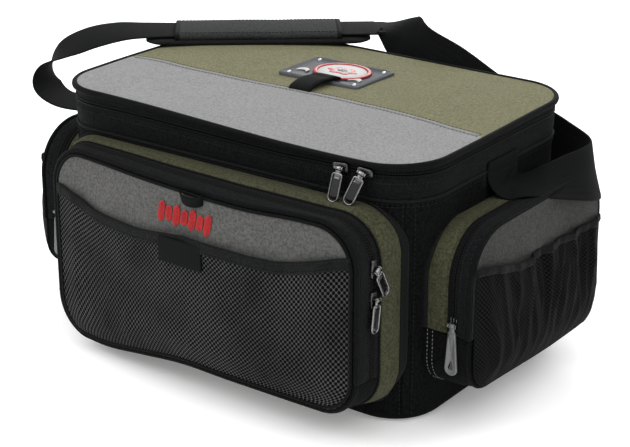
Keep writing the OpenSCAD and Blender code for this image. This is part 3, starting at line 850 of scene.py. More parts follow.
def make_front_pocket():
    outline = pocket_outline(FRONT_HALF, FRONT_BASE, FRONT_TOP, FRONT_RT, FRONT_RB)
    whole = front_path(outline)
    above = front_path(arch(outline, FRONT_ZIP_END, FRONT_HALF))
    below = front_path(trough(outline, FRONT_ZIP_END, FRONT_HALF))

    def gusset_section(place):
        return band_section(-body_recess(place) - 2, FRONT_OLIVE, 1.6, 2.6, 8)

    gusset = sweep("front_gusset_cloth", whole, gusset_section, "bag", "olive_gusset_painted_shade", warp=front_warp,
                   loop=True)
    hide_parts("front_gusset")
    sweep("front_root_binding", whole, lambda place: root_section(body_recess(place)), "bag", "binding",
          warp=front_warp, loop=True)
    sweep("front_cord_olive", whole, round_section(FRONT_OLIVE, 0.5, 1.3, 8), "bag", "piping",
          warp=front_warp, loop=True)
    zip_tapes("front", "front_flap", above, (FRONT_OLIVE, FRONT_SPLIT, FRONT_DEPTH + 1.0), (0.7, 1.4),
              front_warp)
    base = sweep("front_base_cloth", below, band_section(FRONT_OLIVE, FRONT_DEPTH + 1.5, 1.6, 1.6), "bag",
                 "black", warp=front_warp)
    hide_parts("front_pocket_base")
    zip_coil("front", "front_flap", above, FRONT_SPLIT, front_warp)
    edge = sweep("front_cord_panel", above, round_section(FRONT_DEPTH - 0.5, 1.0, 2.0, 8), "front_flap",
                 "piping", warp=front_warp)
    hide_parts("front_piping")
    sweep("front_cord_panel_low", below, round_section(FRONT_DEPTH - 0.5, 1.0, 2.0, 8), "bag", "piping",
          warp=front_warp)
    for body, path, tag in (("front_flap", above, "flap"), ("bag", below, "base")):
        sweep(f"front_cord_inner_{tag}", path, round_section(FRONT_DEPTH + 2.6, -3.2, 1.5, 8), body,
              "piping", warp=front_warp)
    for k, (depth, body) in enumerate(((FRONT_OLIVE + 3, "bag"), (FRONT_SPLIT - 4.5, "bag"),
                                       (FRONT_SPLIT + 5, "front_flap"), (FRONT_DEPTH - 5, "front_flap"))):
        stitch_path(f"front_band_stitch_{k}", above, depth, 0.9 if k < 2 else 1.2, body, "thread_dark",
                    warp=front_warp, **FINE)
    stitch_path("front_olive_stitch", whole, FRONT_OLIVE - 2.6, 0.9, "bag", "thread_olive",
                warp=front_warp, **LOOSE, loop=True)


def mesh_line(x):
    """Height of the front mesh pouch's top edge: it dips left of the middle and climbs at the right."""
    return 150 + 9 * smooth(-60, 20, x) + 14 * smooth(-100, -185, x) + 16 * smooth(105, 185, x)


def front_place(bulge, depth, wrinkle, seed):
    def place(s, z, edge):
        folds = wrinkle * (ripple((s, 0, z), 34, seed) + 0.5 * ripple((s * 1.6, 0, z * 0.7), 15, seed + 4))
        out = depth + edge * (bulge + folds)
        return front_warp(Vector((s, -HALF_D - out, z)))
    return place


def make_front_face():
    shape = (FRONT_HALF - 2.5, FRONT_BASE + 1, FRONT_TOP - 2.5, FRONT_RT - 2.5, FRONT_RB - 2.5)
    wide = (FRONT_HALF - 0.8, FRONT_BASE + 1, FRONT_TOP - 0.8, FRONT_RT - 0.8, FRONT_RB - 0.8)
    backing = surface("front_backing", face_rows(*wide, FRONT_FOLD, FRONT_TOP - 1.2,
                                                 front_place(0.6, FRONT_DEPTH + 0.3, 0.5, 1)),
                      "front_flap", "black")
    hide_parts("front_panel")
    crease = surface("front_fold_cloth", face_rows(*wide, FRONT_FOLD - 3.5, FRONT_FOLD + 7,
                                                   front_place(0.4, FRONT_DEPTH - 1.4, 0.5, 1), up=10),
                     None, "black")
    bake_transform(crease)
    grey = surface("front_grey", face_rows(*shape, lambda s: mesh_line(s) - 8, FRONT_TOP - 3,
                                           front_place(FRONT_CLOTH, FRONT_DEPTH + 2.4, 1.0, 2), up=30),
                   "front_flap", "grey_front_painted_shade")
    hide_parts("front_grey_panel")
    place = front_place(FRONT_MESH, FRONT_DEPTH + 2.6, 1.7, 7)
    rows = face_rows(*shape, FRONT_BASE + 2.5, mesh_line, place, across=110, up=70)
    pouch = surface("front_pouch_mesh", rows, "front_flap", "net")
    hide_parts("front_mesh")
    line = []
    for k in range(81):
        s = (k / 80 * 2 - 1) * (FRONT_HALF - 4)
        edge = smooth(0, 26, FRONT_HALF - 2.5 - abs(s))
        line.append((place(s, mesh_line(s), edge), Vector((0, -1, 0)), UP))
    band = [(-8, 0.6), (-7.6, 1.6), (-3, 1.9), (1.5, 1.9), (3.2, 1.2), (3.0, -0.4), (-8, -0.4)]
    hem = sweep("front_pouch_binding", line, band, "front_flap", "binding")
    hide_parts("front_binding")
    for k, depth in enumerate((-6.2, 1.2)):
        stitch_path(f"front_binding_stitch_{k}", line, depth, 1.9, "front_flap", "thread_dark",
                    **FINE)
    middle = line[42][0]
    tab = rounded_block("front_tab_hook", (middle + Vector((-26, -4.4, -24)),
                                           middle + Vector((22, -1.4, -1))),
                        "front_flap", "webbing", "black_fabric", radius=1.1)
    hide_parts("front_hook_tab")
    crest = front_place(FRONT_CLOTH, FRONT_DEPTH + 2.4, 1.0, 2)(16, FRONT_TOP - 4, 0.3)
    loop = []
    for k in range(17):
        a = math.pi * k / 16
        loop.append((crest + Vector((-12 * math.cos(a), -1.2 - 4.5 * math.sin(a), -3.5 * math.sin(a))),
                     Vector((0, -0.3, 1)), Vector((0, -1, 0))))
    pull = sweep("front_grab_tab", loop, [(-0.5, -5), (0.7, -5), (0.8, 0), (0.7, 5), (-0.5, 5)],
                 "front_flap", "webbing", "black_fabric")
    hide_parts("front_finger_tab")


def make_embroidery():
    """A plain mark in satin stitch: a row of leaning lozenges, alternately tall and short."""
    place = front_place(FRONT_CLOTH, FRONT_DEPTH + 2.4, 1.0, 2)
    verts, faces = [], []
    for k in range(7):
        x0 = -21 + 9.2 * k
        tall = 9.5 if k % 2 == 0 else 7.0
        for i in range(24):
            first = len(verts)
            share = i / 23 * 2 - 1
            z = 176 + share * tall
            reach = 3.9 * min(1.0, 2.4 * (1 - abs(share)) + 0.35)
            for across in (-1, 0, 1):
                for side, rise in ((-0.42, 0.3), (0, 1.5 if across == 0 else 0.8), (0.42, 0.3)):
                    p = place(x0 + across * reach + (z - 176) * 0.2, z + side, 1.0)
                    verts.append((p + Vector((0, -rise, 0))) * MM)
            for j in range(2):
                for m in range(2):
                    a = first + 3 * j + m
                    faces.append((a, a + 1, a + 4, a + 3))
    mesh = bpy.data.meshes.new("front_embroidery")
    mesh.from_pydata(verts, [], faces)
    finish_piece(mesh, "front_embroidery", "front_flap", "red_thread")


# ---------- the side pockets ----------

def side_recess(p):
    return recess(p.y, HALF_D)


def make_side_pocket(side):
    sign = 1 if side == "right" else -1
    flap = side + "_flap"
    outline = pocket_outline(SIDE_HALF, SIDE_BASE, SIDE_TOP, SIDE_RT, SIDE_RB)
    above = side_path(arch(outline, SIDE_FOLD + 0.4, SIDE_HALF), sign)
    below = side_path(trough(outline, SIDE_FOLD - 0.4, SIDE_HALF), sign)

    def gusset_section(place):
        return band_section(-side_recess(place) - 2, SIDE_OLIVE, 1.6, 2.4, 8)

    def pouch_section(place):
        return band_section(-side_recess(place) - 2, SIDE_DEPTH + 1.5, 1.6, 1.8, 12)

    gusset = sweep(side + "_gusset_cloth", above, gusset_section, "bag", "olive_gusset_painted_shade", warp=side_warp)
    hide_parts(side + "_gusset")
    pouch = sweep(side + "_pouch_cloth", below, pouch_section, "bag", "black", warp=side_warp)
    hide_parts(side + "_pouch")
    sweep(side + "_root_binding", above, lambda place: root_section(side_recess(place)), "bag", "binding",
          warp=side_warp)
    sweep(side + "_cord_olive", above, round_section(SIDE_OLIVE, 0.5, 1.2, 8), "bag", "piping",
          warp=side_warp)
    zip_tapes(side, flap, above, (SIDE_OLIVE, SIDE_SPLIT, SIDE_DEPTH + 1.6), (0.4, 1.2), side_warp)
    zip_coil(side, flap, above, SIDE_SPLIT, side_warp)
    sweep(side + "_cord_panel", above, round_section(SIDE_DEPTH - 0.3, 1.0, 1.9, 8), flap, "piping",
          warp=side_warp)
    sweep(side + "_cord_panel_low", below, round_section(SIDE_DEPTH - 0.8, 0.4, 1.2, 8), "bag", "piping",
          warp=side_warp)
    for k, depth in enumerate((3.2, SIDE_OLIVE - 3.2)):
        stitch_path(f"{side}_olive_stitch_{k}", above, depth, 1.5, "bag", "thread_olive",
                    warp=side_warp, **LOOSE)
    for k, depth in enumerate((SIDE_OLIVE + 1.8, SIDE_SPLIT + 5, SIDE_DEPTH - 5)):
        stitch_path(f"{side}_band_stitch_{k}", above, depth, 0.9, "bag" if k == 0 else flap, "thread_dark",
                    warp=side_warp, **FINE)
    for k, depth in enumerate((0.5, 6, SIDE_SPLIT + 1.5)):
        stitch_path(f"{side}_pouch_stitch_{k}", below, depth, 1.7, "bag",
                    "thread_pale" if k < 2 else "thread_dark",
                    "black_fabric", warp=side_warp, pitch=3.8, length=2.4, girth=0.42)
    make_side_face(side, sign, flap)


def side_mesh_line(y):
    """The side mesh's elastic hem: highest at the front, drooping towards the back."""
    return 137 + 14 * smooth(-30, -105, y) - 3 * smooth(20, 90, y)


def side_place(sign, bulge, depth, wrinkle, seed):
    def place(s, z, edge):
        folds = wrinkle * (ripple((0, s, z), 40, seed) + 0.5 * ripple((0, s, z), 16, seed + 3))
        return side_warp(Vector((sign * (HALF_W + depth + edge * (bulge + folds)), s, z)))
    return place


def gathered(sign, top):
    """Elastic mesh: drawn in along its hem, full below it, in uneven folds that fan out from the hem."""
    belly = 9.0 if sign > 0 else 21.0

    def place(s, z, edge):
        rise = min(1.0, max(0.0, (z - SIDE_BASE) / (top(s) - SIDE_BASE)))
        full = math.sin(math.pi * min(1, 0.16 + 0.78 * rise)) ** 0.7
        across = s * (1.0 + 0.12 * math.sin(rise * 3.0 + sign)) + 10 * ripple((0, s, z), 60, 2.2 + sign)
        fold = 0.0
        for size, seed, height in ((26, 1.5, 5.0), (13, 4.5, 2.6), (6.5, 8.5, 0.9)):
            fold += height * (0.55 - 2 * abs(ripple((across, 0.22 * z, 0), size, seed + sign)))
        fold *= 0.35 + 0.65 * smooth(0.1, 0.85, rise)
        out = HALF_W + SIDE_DEPTH + 3.4 + math.sqrt(edge) * (belly * full + fold)
        return side_warp(Vector((sign * out, s, z)))
    return place


def make_side_face(side, sign, flap):
    shape = (SIDE_HALF - 2.2, SIDE_BASE + 1, SIDE_TOP - 2.2, SIDE_RT - 2.2, SIDE_RB - 2.2)
    wide = (SIDE_HALF - 0.8, SIDE_BASE + 1, SIDE_TOP - 0.8, SIDE_RT - 0.8, SIDE_RB - 0.8)
    upper = surface(side + "_face_upper", face_rows(*wide, SIDE_FOLD + 0.4, SIDE_TOP - 1.2,
                                                    side_place(sign, 3.0, SIDE_DEPTH + 1.2, 1.3, 5)),
                    flap, "grey_side_painted_shade")
    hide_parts(side + "_flap_panel")
    surface(side + "_face_lower", face_rows(*shape, SIDE_BASE + 2, SIDE_FOLD - 0.4,
                                            side_place(sign, 2.0, SIDE_DEPTH + 1.4, 1.0, 6)),
            "bag", "black")
    place = gathered(sign, side_mesh_line)
    pouch = surface(side + "_gathered_mesh", face_rows(*shape, SIDE_BASE + 3, side_mesh_line, place,
                                                       across=170, up=60),
                    None, "net_side")
    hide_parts(side + "_mesh_lower", side + "_mesh_upper")
    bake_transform(pouch)
    line = []
    for k in range(121):
        s = (k / 120 * 2 - 1) * (SIDE_HALF - 3)
        edge = smooth(0, 26, SIDE_HALF - 2.2 - abs(s))
        line.append((place(s, side_mesh_line(s), edge), Vector((sign, 0, 0)), UP))
    hem = [(-4, 0.3), (-3.6, 1.3), (0, 1.7), (3.2, 1.2), (3.4, -0.6), (-4, -0.6)]
    sweep(side + "_mesh_hem", line, hem, flap, "binding")
    stitch_path(side + "_hem_stitch", line, -1.6, 1.5, flap, "thread_dark", **FINE)


# ---------- the shoulder strap ----------

ACROSS = (-0.616, 0.788, 0)
LEFT_ROUTE = [
    ((-203, 4, 216), (0, 1, 0)), ((-203, 4, 200), (0, 1, 0)), ((-207, 2, 189), (-0.2, 1, 0)),
    ((-228, -13, 186), ACROSS), ((-252, -33, 188), (-0.56, 0.83, 0)), ((-274, -49, 194), (-0.42, 0.91, 0)),
    ((-289, -55, 207), (-0.28, 0.96, 0.04)), ((-292, -50, 223), (-0.32, 0.94, 0.12)),
    ((-284, -35, 238), (-0.45, 0.86, 0.24)), ((-270, -13, 248), (-0.55, 0.8, 0.22)), ((-252, 9, 253),
            (-0.61, 0.78, 0.14)),
    ((-231, 28, 254), (-0.616, 0.788, 0.05)), ((-186, 63.2, 254), ACROSS), ((-140, 99.1, 254), ACROSS),
]
RIGHT_ROUTE = [
    ((-140, 99.1, 254), ACROSS), ((-94, 135.1, 254), ACROSS), ((-49, 170.3, 254), ACROSS),
    ((-40, 177.3, 254), ACROSS), ((-22, 180, 251), (-0.5, 0.7, 0.5)), ((-3, 175, 247),
            (-0.2, 0.4, 0.9)), ((22, 165, 242), (0, 0, 1)),
    ((60, 158, 232), (0, 0, 1)), ((100, 154, 215), (0, 0, 1)), ((145, 152, 196), (0, 0, 1)),
    ((187, 149, 182), (0, 0, 1)), ((217, 136, 178), (-0.12, 0.05, 1)),
    ((237, 115, 180), (-0.3, 0.15, 0.94)), ((246, 91, 183), (-0.48, 0.3, 0.82)),
    ((246, 66, 186), (-0.62, 0.46, 0.62)), ((236, 41, 187), (-0.68, 0.6, 0.32)),
    ((221, 21, 187), (-0.62, 0.77, 0.08)), ((208, 7, 190), (-0.2, 1, 0)), ((203, 4, 201), (0, 1, 0)),
    ((203, 4, 216), (0, 1, 0)),
]


def through(points, i, t):
    """A smooth curve through points, between points i and i + 1."""
    a, b, c, d = (Vector(points[max(0, min(len(points) - 1, i + k))]) for k in (-1, 0, 1, 2))
    square, cube = 2 * a - 5 * b + 4 * c - d, 3 * b - a - 3 * c + d
    return 0.5 * (2 * b + (c - a) * t + square * t * t + cube * t ** 3)


def strap_frames(route, steps=10):
    places, sides = [p for p, s in route], [s for p, s in route]
    centre, across = [], []
    for i in range(len(route) - 1):
        for k in range(steps):
            centre.append(through(places, i, k / steps))
            across.append(through(sides, i, k / steps).normalized())
    centre.append(Vector(places[-1]))
    across.append(Vector(sides[-1]).normalized())
    frames = []
    for n, p in enumerate(centre):
        ahead = (centre[min(n + 1, len(centre) - 1)] - centre[max(n - 1, 0)]).normalized()
        up = ahead.cross(across[n]).normalized()
        frames.append((p, up, up.cross(ahead)))
    return frames


STRAP_HALF = 24.6


def make_strap():
    half = STRAP_HALF
    section = [(-half, 0.5), (-half + 1.5, 1.0), (0, 1.25), (half - 1.5, 1.0), (half, 0.5), (half, -0.5),
               (half - 1.5, -1.0), (0, -0.75), (-half + 1.5, -1.0), (-half, -0.5)]
    starts = ((-231, 28, 216), (22, 165, 242))
    ends = ((-231, 28, 252), (-49, 170, 254))
    for side, route, start, end in zip(("left", "right"), (LEFT_ROUTE, RIGHT_ROUTE), starts, ends):
        frames = strap_frames(route)
        strap = sweep(side + "_strap", frames, section, None, "webbing")
        if side == "left":
            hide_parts("shoulder_strap")
        [v * MM for v in start]
        [v * MM for v in end]
        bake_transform(strap)
        sign = -1 if side == "left" else 1
        a, b = low(side + "_strap_anchor"), high(side + "_strap_anchor")
        outer = max(abs(a.x), abs(b.x)) + 0.3
        patch = rounded_block(side + "_anchor_patch",
                              ((sign * (outer - 3), a.y, a.z), (sign * outer, b.y, b.z)),
                              "bag", "binding", radius=1.2)
        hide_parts(side + "_strap_anchor")
        web = outer + 2.2
        upper, lower = b.z - 4, b.z - 14
        box = [Vector((sign * web, y, z))
               for y, z in ((-17, upper), (25, upper), (25, lower), (-17, lower), (-17, upper))]
        out = Vector((sign, 0, 0))
        stitches(side + "_anchor_stitch", box, [out] * 5, "bag", "thread_dark", pitch=3.4, length=2.4,
                 girth=0.4)


def make_pad():
    turn = math.atan2(joint("shoulder_pad_travel")["axis"][1], joint("shoulder_pad_travel")["axis"][0])
    a, b = low("pad_cushion"), high("pad_cushion")
    centre = Vector(((a.x + b.x) / 2, (a.y + b.y) / 2, 0))
    along = Vector((math.cos(turn), math.sin(turn), 0))
    side = Vector((-along.y, along.x, 0))

    def pillow(length, width, corner, z0, z1, belly, ridges):
        outline = arcs_outline([
            (length / 2 - corner, -width / 2 + corner, corner, -90, 0),
            (length / 2 - corner, width / 2 - corner, corner, 0, 90),
            (corner - length / 2, width / 2 - corner, corner, 90, 180),
            (corner - length / 2, corner - width / 2, corner, 180, 270),
        ], step=4)
        rows = []
        mid, half = (z0 + z1) / 2, (z1 - z0) / 2
        levels = [(0.02, 1), (0.4, 1), (0.75, 0.98), (0.9, 0.9), (0.97, 0.65), (1.0, 0.2), (1.0, -0.2),
                  (0.97, -0.65), (0.9, -0.95), (0.7, -1), (0.02, -1)]
        for share, lift in levels:
            row = []
            for (u, v), n in outline:
                x, y = u * share, v * share
                crown = belly * (1 - share ** 2) if lift > 0 else 0
                rib = ridges * math.sin(x * 0.19) * (1 - share * share) if lift > 0 else 0
                bend = 0.5 * ripple((x, y, z0), 45, 3)
                row.append(centre + along * x + side * y + UP * (mid + half * lift + crown + rib + bend))
            rows.append(row)
        return rows

    rows = pillow(226, 62, 16, a.z + 0.9, b.z + 0.4, 0.8, 0.5)
    cushion = surface("pad_cushion_cloth", rows, "shoulder_pad", "pad", loop_u=True)
    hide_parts("pad_cushion")
    s0, s1 = low("pad_sleeve").z, high("pad_sleeve").z
    frames = []
    for k in range(61):
        x = (k / 60 * 2 - 1) * 82
        sag = 0.6 * ripple((x, 0, 0), 40, 2)
        frames.append((centre + along * x + UP * ((s0 + s1) / 2 + sag), UP, side))
    tube = [(-28, -3), (-28.8, 0), (-28, 2.4), (-23, 3.6), (-11, 4.8), (0, 5.2), (11, 4.8), (23, 3.6),
            (28, 2.4),
            (28.8, 0), (28, -3), (0, -3.1)]
    sleeve = sweep("pad_sleeve_cloth", frames, tube, "shoulder_pad", "sleeve")
    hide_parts("pad_sleeve")
    for k, v in enumerate((-24, 24)):
        stitch_path(f"pad_stitch_{k}", frames, v, 3.5, "shoulder_pad", "thread_dark", **LOOSE)
    for k in (0, 60):
        sweep(f"pad_sleeve_end_{k}", [(p + along * (k / 30 - 1) * t, u, s) for p, u,
                                      s in [frames[k]] for t in (-3, 0, 1.5)],
              [(d * 1.015, o * 1.07) for d, o in tube], "shoulder_pad", "binding")


# ---------- sliders and pulls ----------

def pull_frame(name, pin_joint):
    """The pin's centre, then the pull's long, width and outward directions, all from the frame."""
    pin = Vector(joint(pin_joint)["pos_m"]) / MM
    width = Vector(joint(pin_joint)["axis"]).normalized()
    verts = [Vector(v.co) / MM for v in frame["nodes"][name].data.vertices]
    tip = max(verts, key=lambda v: (v - pin).length)
    far = [v for v in verts if (v - tip).length < 14 and (v - pin).length > (tip - pin).length - 1.5]
    middle = sum(far, Vector()) / len(far)
    down = middle - pin
    down = (down - width * down.dot(width)).normalized()
    return pin, down, width, width.cross(down), max((v - pin).dot(down) for v in verts)


def make_bar_pull(name, pin_joint):
    pin, down, width, out, reach = pull_frame(name, pin_joint)

    def ring(grow, rise):
        half, top, bottom, r = 5.3 + grow, 4.0 - grow, reach + grow, 4.6 + grow
        corners = arcs_outline([
            (bottom - r, -half + r, r, -90, 0), (bottom - r, half - r, r, 0, 90),
            (top + 2.2, half - 2.2, 2.2, 90, 180), (top + 2.2, -half + 2.2, 2.2, 180, 270),
        ], even=8)
        return [pin + down * u + width * v + out * rise for (u, v), n in corners]

    section = [(0, -0.8), (0.0, 0.8), (-0.35, 1.15), (-0.85, 1.15), (-1.15, 0.75), (-1.15, -0.75),
               (-0.85, -1.15), (-0.35, -1.15)]
    rows = [ring(g, rise) for g, rise in section]
    rim = surface(name + "_rim", rows, name + "_body", "steel", loop_u=True, loop_v=True)
    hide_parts(name)
    face = []
    centre = pin + down * (reach / 2 + 2)
    for side in (0.55, -0.55):
        for share in ((0.02, 0.6, 1.0) if side > 0 else (1.0, 0.6, 0.02)):
            edge = ring(-0.9, side + (0.25 if side > 0 else -0.25) * (1 - share))
            face.append([centre + (p - centre) * share + out * (side * (1 - share)) for p in edge])
    surface(name + "_plate", face, name + "_body", "gloss", loop_u=True)
    make_eye(name, pin, down, width, out, "steel")


def make_eye(name, pin, down, width, out, look):
    """The rolled eye that turns on the slider's pin, and the neck below it."""
    rows = []
    for reach, along in ((1.05, -2.7), (1.9, -2.7), (2.15, -2.3), (2.15, 2.3), (1.9, 2.7), (1.05, 2.7)):
        rows.append([pin + width * along + (down * math.cos(t) + out * math.sin(t)) * reach
                     for t in circle(20)])
    surface(name + "_eye", rows, name + "_body", look, "slider_metal", loop_u=True, loop_v=True)
    neck = []
    for u, half, thick in ((1.6, 2.5, 0.7), (3.5, 2.5, 0.75), (5.5, 3.0, 0.8), (6.6, 3.4, 0.6)):
        neck.append([pin + down * u + width * v + out * o for v, o in (
            (-half, -thick * 0.6), (-half, thick * 0.6), (-half * 0.8, thick), (half * 0.8, thick),
            (half, thick * 0.6), (half, -thick * 0.6), (half * 0.8, -thick), (-half * 0.8, -thick))])
    surface(name + "_neck", neck, name + "_body", look, "slider_metal", loop_u=True)


def make_drop_pull(name, pin_joint):
    pin, down, width, out, reach = pull_frame(name, pin_joint)

    def ring(grow, rise):
        r = 6.3 + grow
        corners = arcs_outline([
            (reach - r + grow, 0, r, -84, 84),
            (7.0 - grow, 2.4, 1.4 + grow, 84, 180),
            (7.0 - grow, -2.4, 1.4 + grow, 180, 276),
        ], even=9)
        return [pin + down * u + width * v + out * rise for (u, v), n in corners]

    section = [(0, -0.8), (0, 0.5), (-0.4, 1.0), (-1.1, 1.1), (-1.8, 0.8)]
    rows = [ring(g, rise) for g, rise in section]
    centre = pin + down * (reach * 0.6)
    for share in (0.6, 0.02):
        rows.append([centre + (p - centre) * share for p in ring(-1.8, 0.8)])
    rows = [[centre + (p - centre) * share for p in ring(-0.4, -0.9)] for share in (0.02, 1.0)] + rows
    body = surface(name + "_blade", rows, name + "_body", "cast", loop_u=True)
    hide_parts(name)
    hub = pin + down * (reach - 7.5) + out * 0.86
    drop = []
    for t in circle(28):
        long, wide = (1.0, 1.0) if math.cos(t) > 0 else (2.6, 1 + 0.75 * math.cos(t))
        drop.append(hub + down * (2.4 * math.cos(t)) * long + width * (2.4 * math.sin(t) * wide))
    rows = [drop, [hub + (p - hub) * 0.85 + out * 0.25 for p in drop],
            [hub + (p - hub) * 0.02 + out * 0.3 for p in drop]]
    surface(name + "_drop", rows, name + "_body", "gloss", loop_u=True)
    make_eye(name, pin, down, width, out, "cast")


def make_slider(name, pin_joint, body, travel, outward):
    """A slider's two wings, nose and bridge over its coil."""
    pin = Vector(joint(pin_joint)["pos_m"]) / MM
    out, run = Vector(outward), Vector(travel).normalized()
    side = out.cross(run)
    foot = pin - out * 6.0
    rows = []
    for rise, grow in ((0.3, -0.4), (0.6, 0.0), (2.6, 0.0), (3.2, -0.5), (3.5, -1.4), (3.55, -4.2)):
        outline = arcs_outline([
            (3.6, -2.2, 2.3 + grow * 0.5, -90, 0), (3.6, 2.2, 2.3 + grow * 0.5, 0, 90),
            (-5.0, 1.2, 2.6 + grow * 0.5, 90, 180), (-5.0, -1.2, 2.6 + grow * 0.5, 180, 270),
        ], even=6)
        rows.append([foot + run * (u * 1.15) + side * v + out * rise for (u, v), n in outline])
    centre = foot + out * 3.55
    rows.append([centre + (p - centre) * 0.02 for p in rows[-1]])
    look = "bright" if name in ("left_slider", "right_slider") else "steel_dark"
    piece = surface(name + "_shell", rows, body, look, loop_u=True)
    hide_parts(name)
    width = Vector(joint(pin_joint)["axis"]).normalized()

    def around(t):
        return out * math.cos(t) + out.cross(width) * math.sin(t)

    for k, sign in enumerate((-1, 1)):
        lug = []
        for along, grow in ((3.05, -0.3), (3.2, 0), (4.2, 0), (4.4, -0.3)):
            lug.append([pin + width * sign * along + around(t) * (1.75 + grow)
                        - (out * 3.0 if math.cos(t) < -0.1 else Vector()) for t in circle(20)])
        surface(f"{name}_lug_{k}", lug, body, "steel", loop_u=True, loop_v=True)
    rod = [[pin + width * along + around(t) * 0.9 for t in circle(14)] for along in (-4.3, 4.3)]
    surface(name + "_pin", rod, body, "steel", loop_u=True)


def make_hardware():
    for end in ("left", "right"):
        name = "main_slider_" + end
        make_slider(name, f"main_pull_{end}_hinge", name + "_body", (1 if end == "left" else -1, 0, 0),
                    (0, -1, 0))
        make_bar_pull("main_pull_" + end, f"main_pull_{end}_hinge")
    for end in ("upper", "lower"):
        name = "front_slider_" + end
        make_slider(name, f"front_pull_{end}_hinge", name + "_body", (0, 0, -1 if end == "upper" else 1),
                    (1, 0, 0))
        make_bar_pull("front_pull_" + end, f"front_pull_{end}_hinge")
    for end in ("left", "right"):
        name = end + "_slider"
        make_slider(name, end + "_pull_hinge", name + "_body", (0, 0, 1), (0, -1, 0))
        make_drop_pull(end + "_pull", end + "_pull_hinge")


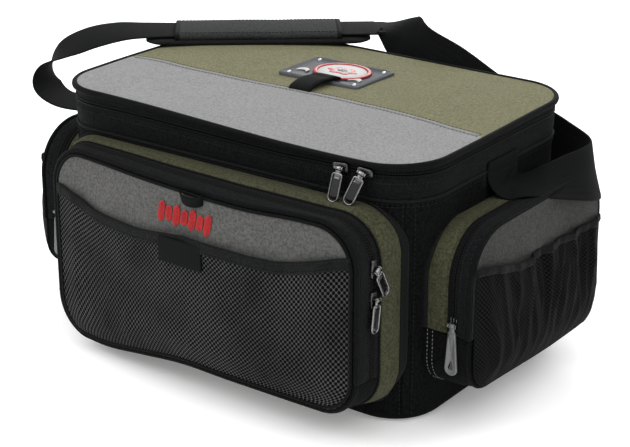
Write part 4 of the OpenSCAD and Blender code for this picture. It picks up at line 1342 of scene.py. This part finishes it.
def make_looks():
    """Every look, as its material and the name of a record slot."""
    return {
        "black": (fabric("black_cloth", (0.0, 0.0, 0.0), (0.0075, 0.0082, 0.008), bump=0.8, sheen=0.006,
                         shine=0.03), "black_fabric"),
        "tape": (fabric("zip_tape", (0.0002, 0.0003, 0.0003), (0.0088, 0.0096, 0.01), pitch=0.0018,
                        bump=0.6, shine=0.05), "black_fabric"),
        "binding": (fabric("edge_binding", (0.001, 0.0011, 0.0012), (0.0085, 0.009, 0.0092), pitch=0.0016,
                           roughness=0.75, shine=0.08), "black_fabric"),
        "piping": (fabric("piping_cloth", (0.0004, 0.0005, 0.0005), (0.0058, 0.0062, 0.0062), pitch=0.0015,
                          roughness=0.75, shine=0.05, grain=0.4), "black_fabric"),
        "lining": (fabric("lining_cloth_grey", (0.012, 0.0125, 0.013), (0.03, 0.031, 0.033), pitch=0.0011,
                          bump=0.3), "black_mesh"),
        "olive": (fabric("olive_cloth_lid", (0.078, 0.076, 0.042), (0.19, 0.185, 0.108), bump=0.6,
                         grain=0.55), "olive_fabric"),
        # painted shade: a darker copy of the lid's olive cloth, standing in for the shade that falls on the
        # upright gussets
        "olive_gusset_painted_shade": (fabric("olive_cloth_side_painted_shade", (0.008, 0.0085, 0.004), (0.068, 0.07, 0.038),
                                bump=0.7), "olive_fabric"),
        "grey": (fabric("grey_cloth_lid", (0.146, 0.146, 0.146), (0.275, 0.275, 0.276), bump=0.6,
                        grain=0.55), "grey_fabric"),
        # painted shade: a darker copy of the lid's grey cloth, standing in for the shade on the front
        # pocket's upright face
        "grey_front_painted_shade": (fabric("grey_cloth_front_painted_shade", (0.033, 0.033, 0.031), (0.112, 0.112, 0.108), bump=0.6),
                       "grey_fabric"),
        # painted shade: a still darker copy of the grey cloth, standing in for the deeper shade on the side
        # pockets' faces
        "grey_side_painted_shade": (fabric("grey_cloth_side_painted_shade", (0.014, 0.0145, 0.0125), (0.056, 0.0575, 0.052), bump=0.6),
                      "grey_fabric"),
        "pad": (fabric("pad_cloth", (0.002, 0.0022, 0.0023), (0.01, 0.0105, 0.011), pitch=0.002, bump=0.6),
                "black_fabric"),
        "sleeve": (fabric("sleeve_cloth", (0.008, 0.0088, 0.0088), (0.034, 0.037, 0.037), pitch=0.0022,
                          bump=0.6), "grey_sleeve"),
        "net": (net("net_front", (0.062, 0.063, 0.062), (0.0006, 0.0006, 0.0007)), "black_mesh"),
        "net_side": (net("net_side", (0.011, 0.0112, 0.0114), (0.0003, 0.0003, 0.0004), pitch=0.004),
                     "black_mesh"),
        "webbing": (webbing("strap_webbing", (0.0005, 0.0006, 0.0006), (0.0095, 0.0102, 0.0102)),
                    "black_webbing"),
        "coil": (toothed("zip_coil", (0.0006, 0.0006, 0.0007), (0.007, 0.007, 0.0075)), "black_fabric"),
        "thread_dark": (fabric("thread_charcoal", (0.004, 0.004, 0.0045), (0.014, 0.0145, 0.015),
                               pitch=0.0006), "black_fabric"),
        "thread_grey": (fabric("thread_mid_grey", (0.06, 0.06, 0.062), (0.13, 0.13, 0.135), pitch=0.0006),
                        "grey_fabric"),
        "thread_olive": (fabric("thread_moss", (0.025, 0.026, 0.014), (0.055, 0.056, 0.034), pitch=0.0006),
                         "olive_fabric"),
        "thread_pale": (fabric("thread_silver", (0.08, 0.08, 0.085), (0.2, 0.2, 0.21), pitch=0.0006),
                        "badge_grey"),
        "red_thread": (fabric("thread_red", (0.22, 0.006, 0.007), (0.52, 0.02, 0.02), pitch=0.0008,
                              roughness=0.55, shine=0.3), "badge_red"),
        "badge": (hard("badge_rubber", (0.024, 0.027, 0.032), (0.05, 0.055, 0.062), 0.62, 0.0, scale=420),
                  "badge_grey"),
        "badge_dark": (hard("badge_rubber_dark", (0.008, 0.008, 0.009), (0.02, 0.02, 0.022), 0.42, 0.0,
                            scale=420), "badge_grey"),
        "white": (hard("badge_rubber_white", (0.36, 0.36, 0.36), (0.5, 0.5, 0.49), 0.62, 0.0, scale=420),
                  "badge_grey"),
        "red": (hard("badge_rubber_red", (0.24, 0.01, 0.012), (0.4, 0.018, 0.02), 0.4, 0.0, scale=420),
                "badge_red"),
        "rivet": (hard("rivet_metal", (0.3, 0.3, 0.31), (0.6, 0.6, 0.61), 0.3, 1.0), "slider_metal"),
        "steel": (hard("plated_edge", (0.1, 0.1, 0.1), (0.34, 0.34, 0.335), 0.24, 1.0, scale=500),
                  "slider_metal"),
        "steel_dark": (hard("plated_dark", (0.03, 0.03, 0.031), (0.12, 0.12, 0.122), 0.32, 1.0, scale=500),
                       "slider_metal"),
        "gloss": (hard("gloss_black", (0.001, 0.001, 0.001), (0.006, 0.006, 0.0062), 0.2, 0.0, scale=300,
                       coat=0.15), "pull_black_metal"),
        "bright": (hard("bright_slider", (0.28, 0.28, 0.275), (0.6, 0.6, 0.59), 0.25, 1.0, scale=500),
                   "slider_metal"),
        "cast": (hard("cast_metal", (0.09, 0.092, 0.09), (0.2, 0.203, 0.2), 0.42, 0.5, scale=420),
                 "pull_cast_grey"),
    }


def main():
    make_camera()
    make_stage()
    LOOKS.update(make_looks())
    make_strap()
    make_pad()
    make_shell()
    make_interior()
    make_main_zip()
    make_lid()
    make_badge()
    make_badge_loop()
    make_front_pocket()
    make_front_face()
    make_embroidery()
    make_side_pocket("left")
    make_side_pocket("right")
    make_hardware()
    bpy.context.view_layer.update()


main()
